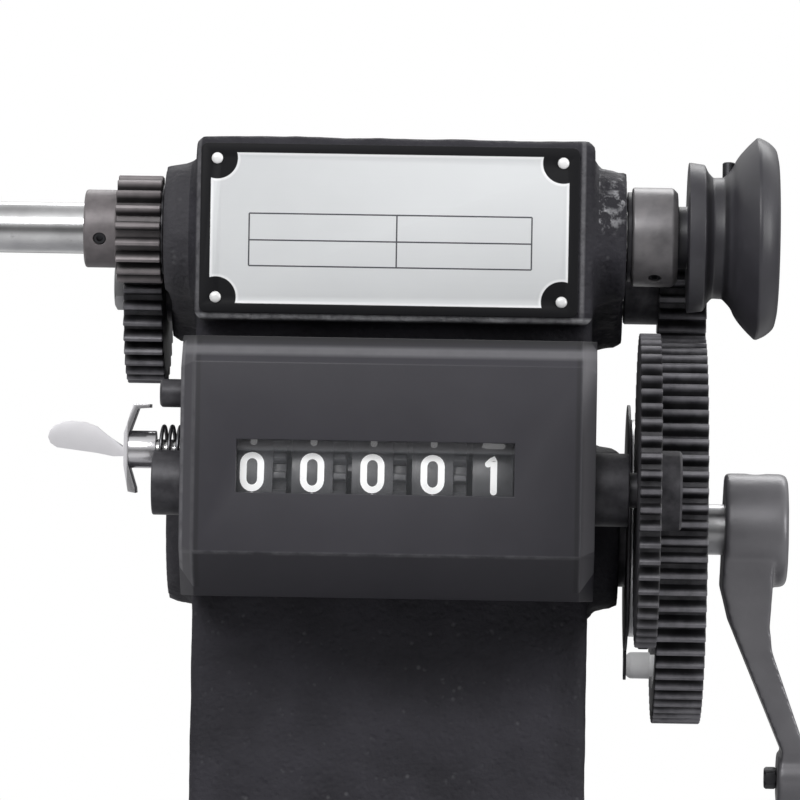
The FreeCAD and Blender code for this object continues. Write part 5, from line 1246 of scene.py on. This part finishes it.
def wire_coil(name, material, axis, start, length, radius, wire, pitch):
    """An open coil spring along X, grown along a spiral by a geometry tree."""
    tree, entry, output = tree_with(name, [
        ("Turns", "NodeSocketFloat", length / pitch), ("Radius", "NodeSocketFloat", radius * MM),
        ("Length", "NodeSocketFloat", length * MM), ("Wire", "NodeSocketFloat", wire * MM)])
    given = entry.outputs
    spiral = node_in(tree, "CurveSpiral", Resolution=40, Rotations=given["Turns"],
                     Start_Radius=given["Radius"], End_Radius=given["Radius"],
                     Height=given["Length"])
    circle = node_in(tree, "CurvePrimitiveCircle", Resolution=12, Radius=given["Wire"])
    sweep = node_in(tree, "CurveToMesh", Curve=spiral[0], Profile_Curve=circle[0],
                    Fill_Caps=True)
    turn = node_in(tree, "Transform", Geometry=sweep[0], Rotation=(0, math.radians(90), 0),
                   Translation=(start * MM, axis[0] * MM, axis[1] * MM))
    end_tree(tree, turn[0], output, material)
    return shade(grown(name, tree), 60.0)


spring_left, spring_right = span_of("reset_spring")
COIL_RADIUS, WIRE_RADIUS, COIL_PITCH = 5.4, 0.45, 1.9
coil = wire_coil("friction_spring", spring_wire, reset_axis, spring_left + WIRE_RADIUS,
                 spring_right - spring_left - 2 * WIRE_RADIUS, COIL_RADIUS, WIRE_RADIUS,
                 COIL_PITCH)
put(coil, "stand", "zinc_steel", "reset_spring")

# ---------------------------------------------------------------------------------------------
# The studio: a long lens level with the machine, a pale floor that keeps its shadow, three
# area lamps, and a grey room that lights it softly and shows only in its reflections.
# ---------------------------------------------------------------------------------------------
EYE = Vector((28.3, -1274.0, 145.6)) * MM
AIM = Vector((0.9, 0.0, 145.6)) * MM
ROLL = 0.95
FOCAL_PIXELS, FRAME_PIXELS = 5350, 800


def facing(place, target):
    """The matrix of what stands at a place and looks at a target."""
    look = (Vector(target) - Vector(place)).to_track_quat("-Z", "Y")
    return Matrix.Translation(place) @ look.to_matrix().to_4x4()


camera_data = bpy.data.cameras.new("camera")
camera_data.sensor_width = 36.0
camera_data.lens = FOCAL_PIXELS / FRAME_PIXELS * camera_data.sensor_width
camera_data.clip_end = 50
camera = bpy.data.objects.new("camera", camera_data)
camera.matrix_world = facing(EYE, AIM) @ Matrix.Rotation(math.radians(ROLL), 4, "Z")
bpy.context.scene.collection.objects.link(camera)
bpy.context.scene.camera = camera

SHADOW_FADE, MIRROR_FADE = (300, 620), (110, 200)


def pale_floor():
    """Pale studio floor: it keeps the object's shadow near it and fades to white far off."""
    finish = Finish("pale_floor", Roughness=0.8)
    x, y = finish.axis("X"), finish.axis("Y")
    distance = (x * x + y * y) ** 0.5
    seen = finish.add("ShaderNodeLightPath", {}, output="Is Camera Ray")
    mirrored = finish.add("ShaderNodeLightPath", {}, output="Is Glossy Ray")
    finish.set(Base_Color=finish.mix(seen, (0.4, 0.4, 0.41), (0.86, 0.86, 0.86)))
    tone = finish.ramp(distance / 2000, (0.05, 0.6), (0.14, 0.66), (0.2, 0.45), (0.3, 0.2),
                       (0.6, 0.14))
    glow = finish.add("ShaderNodeEmission", {}, finish.mix(seen, tone, (1.0, 1.0, 1.0)))
    share = (distance.step(*SHADOW_FADE) * seen).at_least(mirrored * distance.step(*MIRROR_FADE))
    floor_shader = finish.add("ShaderNodeMixShader", {}, share,
                              Value(finish, finish.shader.outputs[0]), glow)
    finish.feed(finish.tree.nodes["Material Output"].inputs[0], floor_shader)
    return finish.material


floor_mesh = bmesh.new()
bmesh.ops.create_circle(floor_mesh, cap_ends=True, segments=96, radius=4.0)
floor = piece_of(floor_mesh, "floor", pale_floor())
floor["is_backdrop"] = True


def lamp(name, place, target, size, power):
    """A rectangular area lamp: size in metres, power in watts."""
    data = bpy.data.lights.new(name, "AREA")
    data.shape = "RECTANGLE"
    data.size, data.size_y = size
    data.energy = power
    light = bpy.data.objects.new(name, data)
    light.matrix_world = facing(place, target)
    bpy.context.scene.collection.objects.link(light)


lamp("key", (-0.5, -1.2, 0.95), (0, 0, 0.13), (1.0, 0.5), 11.0)
lamp("fill", (1.3, -0.7, 0.4), (0, 0, 0.13), (0.6, 0.7), 8.0)
lamp("rim", (0.2, 0.7, 0.9), (0, 0, 0.15), (0.9, 0.4), 4.0)

world = bpy.data.worlds.new("studio")
bpy.context.scene.world = world
world.use_nodes = True
sky = Shading(world.node_tree, "Generated")
height = sky.axis("Z") * MM
# what reflections show, by height: dark low down, a bright bank of light, dimmer overhead
room = sky.ramp(height * 0.5 + 0.5, (0.42, 0.14), (0.5, 0.2), (0.59, 0.42), (0.68, 0.72),
                (0.76, 0.96), (0.84, 0.98), (0.9, 0.9), (0.96, 0.66), (1.0, 0.45))
dim = sky.ramp(height * 0.5 + 0.5, (0.3, 0.24), (0.55, 0.46), (0.8, 0.6), (1.0, 0.55))
camera_ray = sky.add("ShaderNodeLightPath", {}, output="Is Camera Ray")
glossy_ray = sky.add("ShaderNodeLightPath", {}, output="Is Glossy Ray")
backdrop = world.node_tree.nodes["Background"]
sky.feed(backdrop.inputs["Color"],
         sky.mix(camera_ray, sky.mix(glossy_ray, dim, room), (1.0, 1.0, 1.0)))

bpy.context.scene.view_settings.view_transform = "Standard"


def plain(box):
    """A box as plain lists of metres."""
    return [[round(float(value), 6) for value in corner] for corner in box]


{"cad": plain(cad_bounds), "visual": plain(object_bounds())}
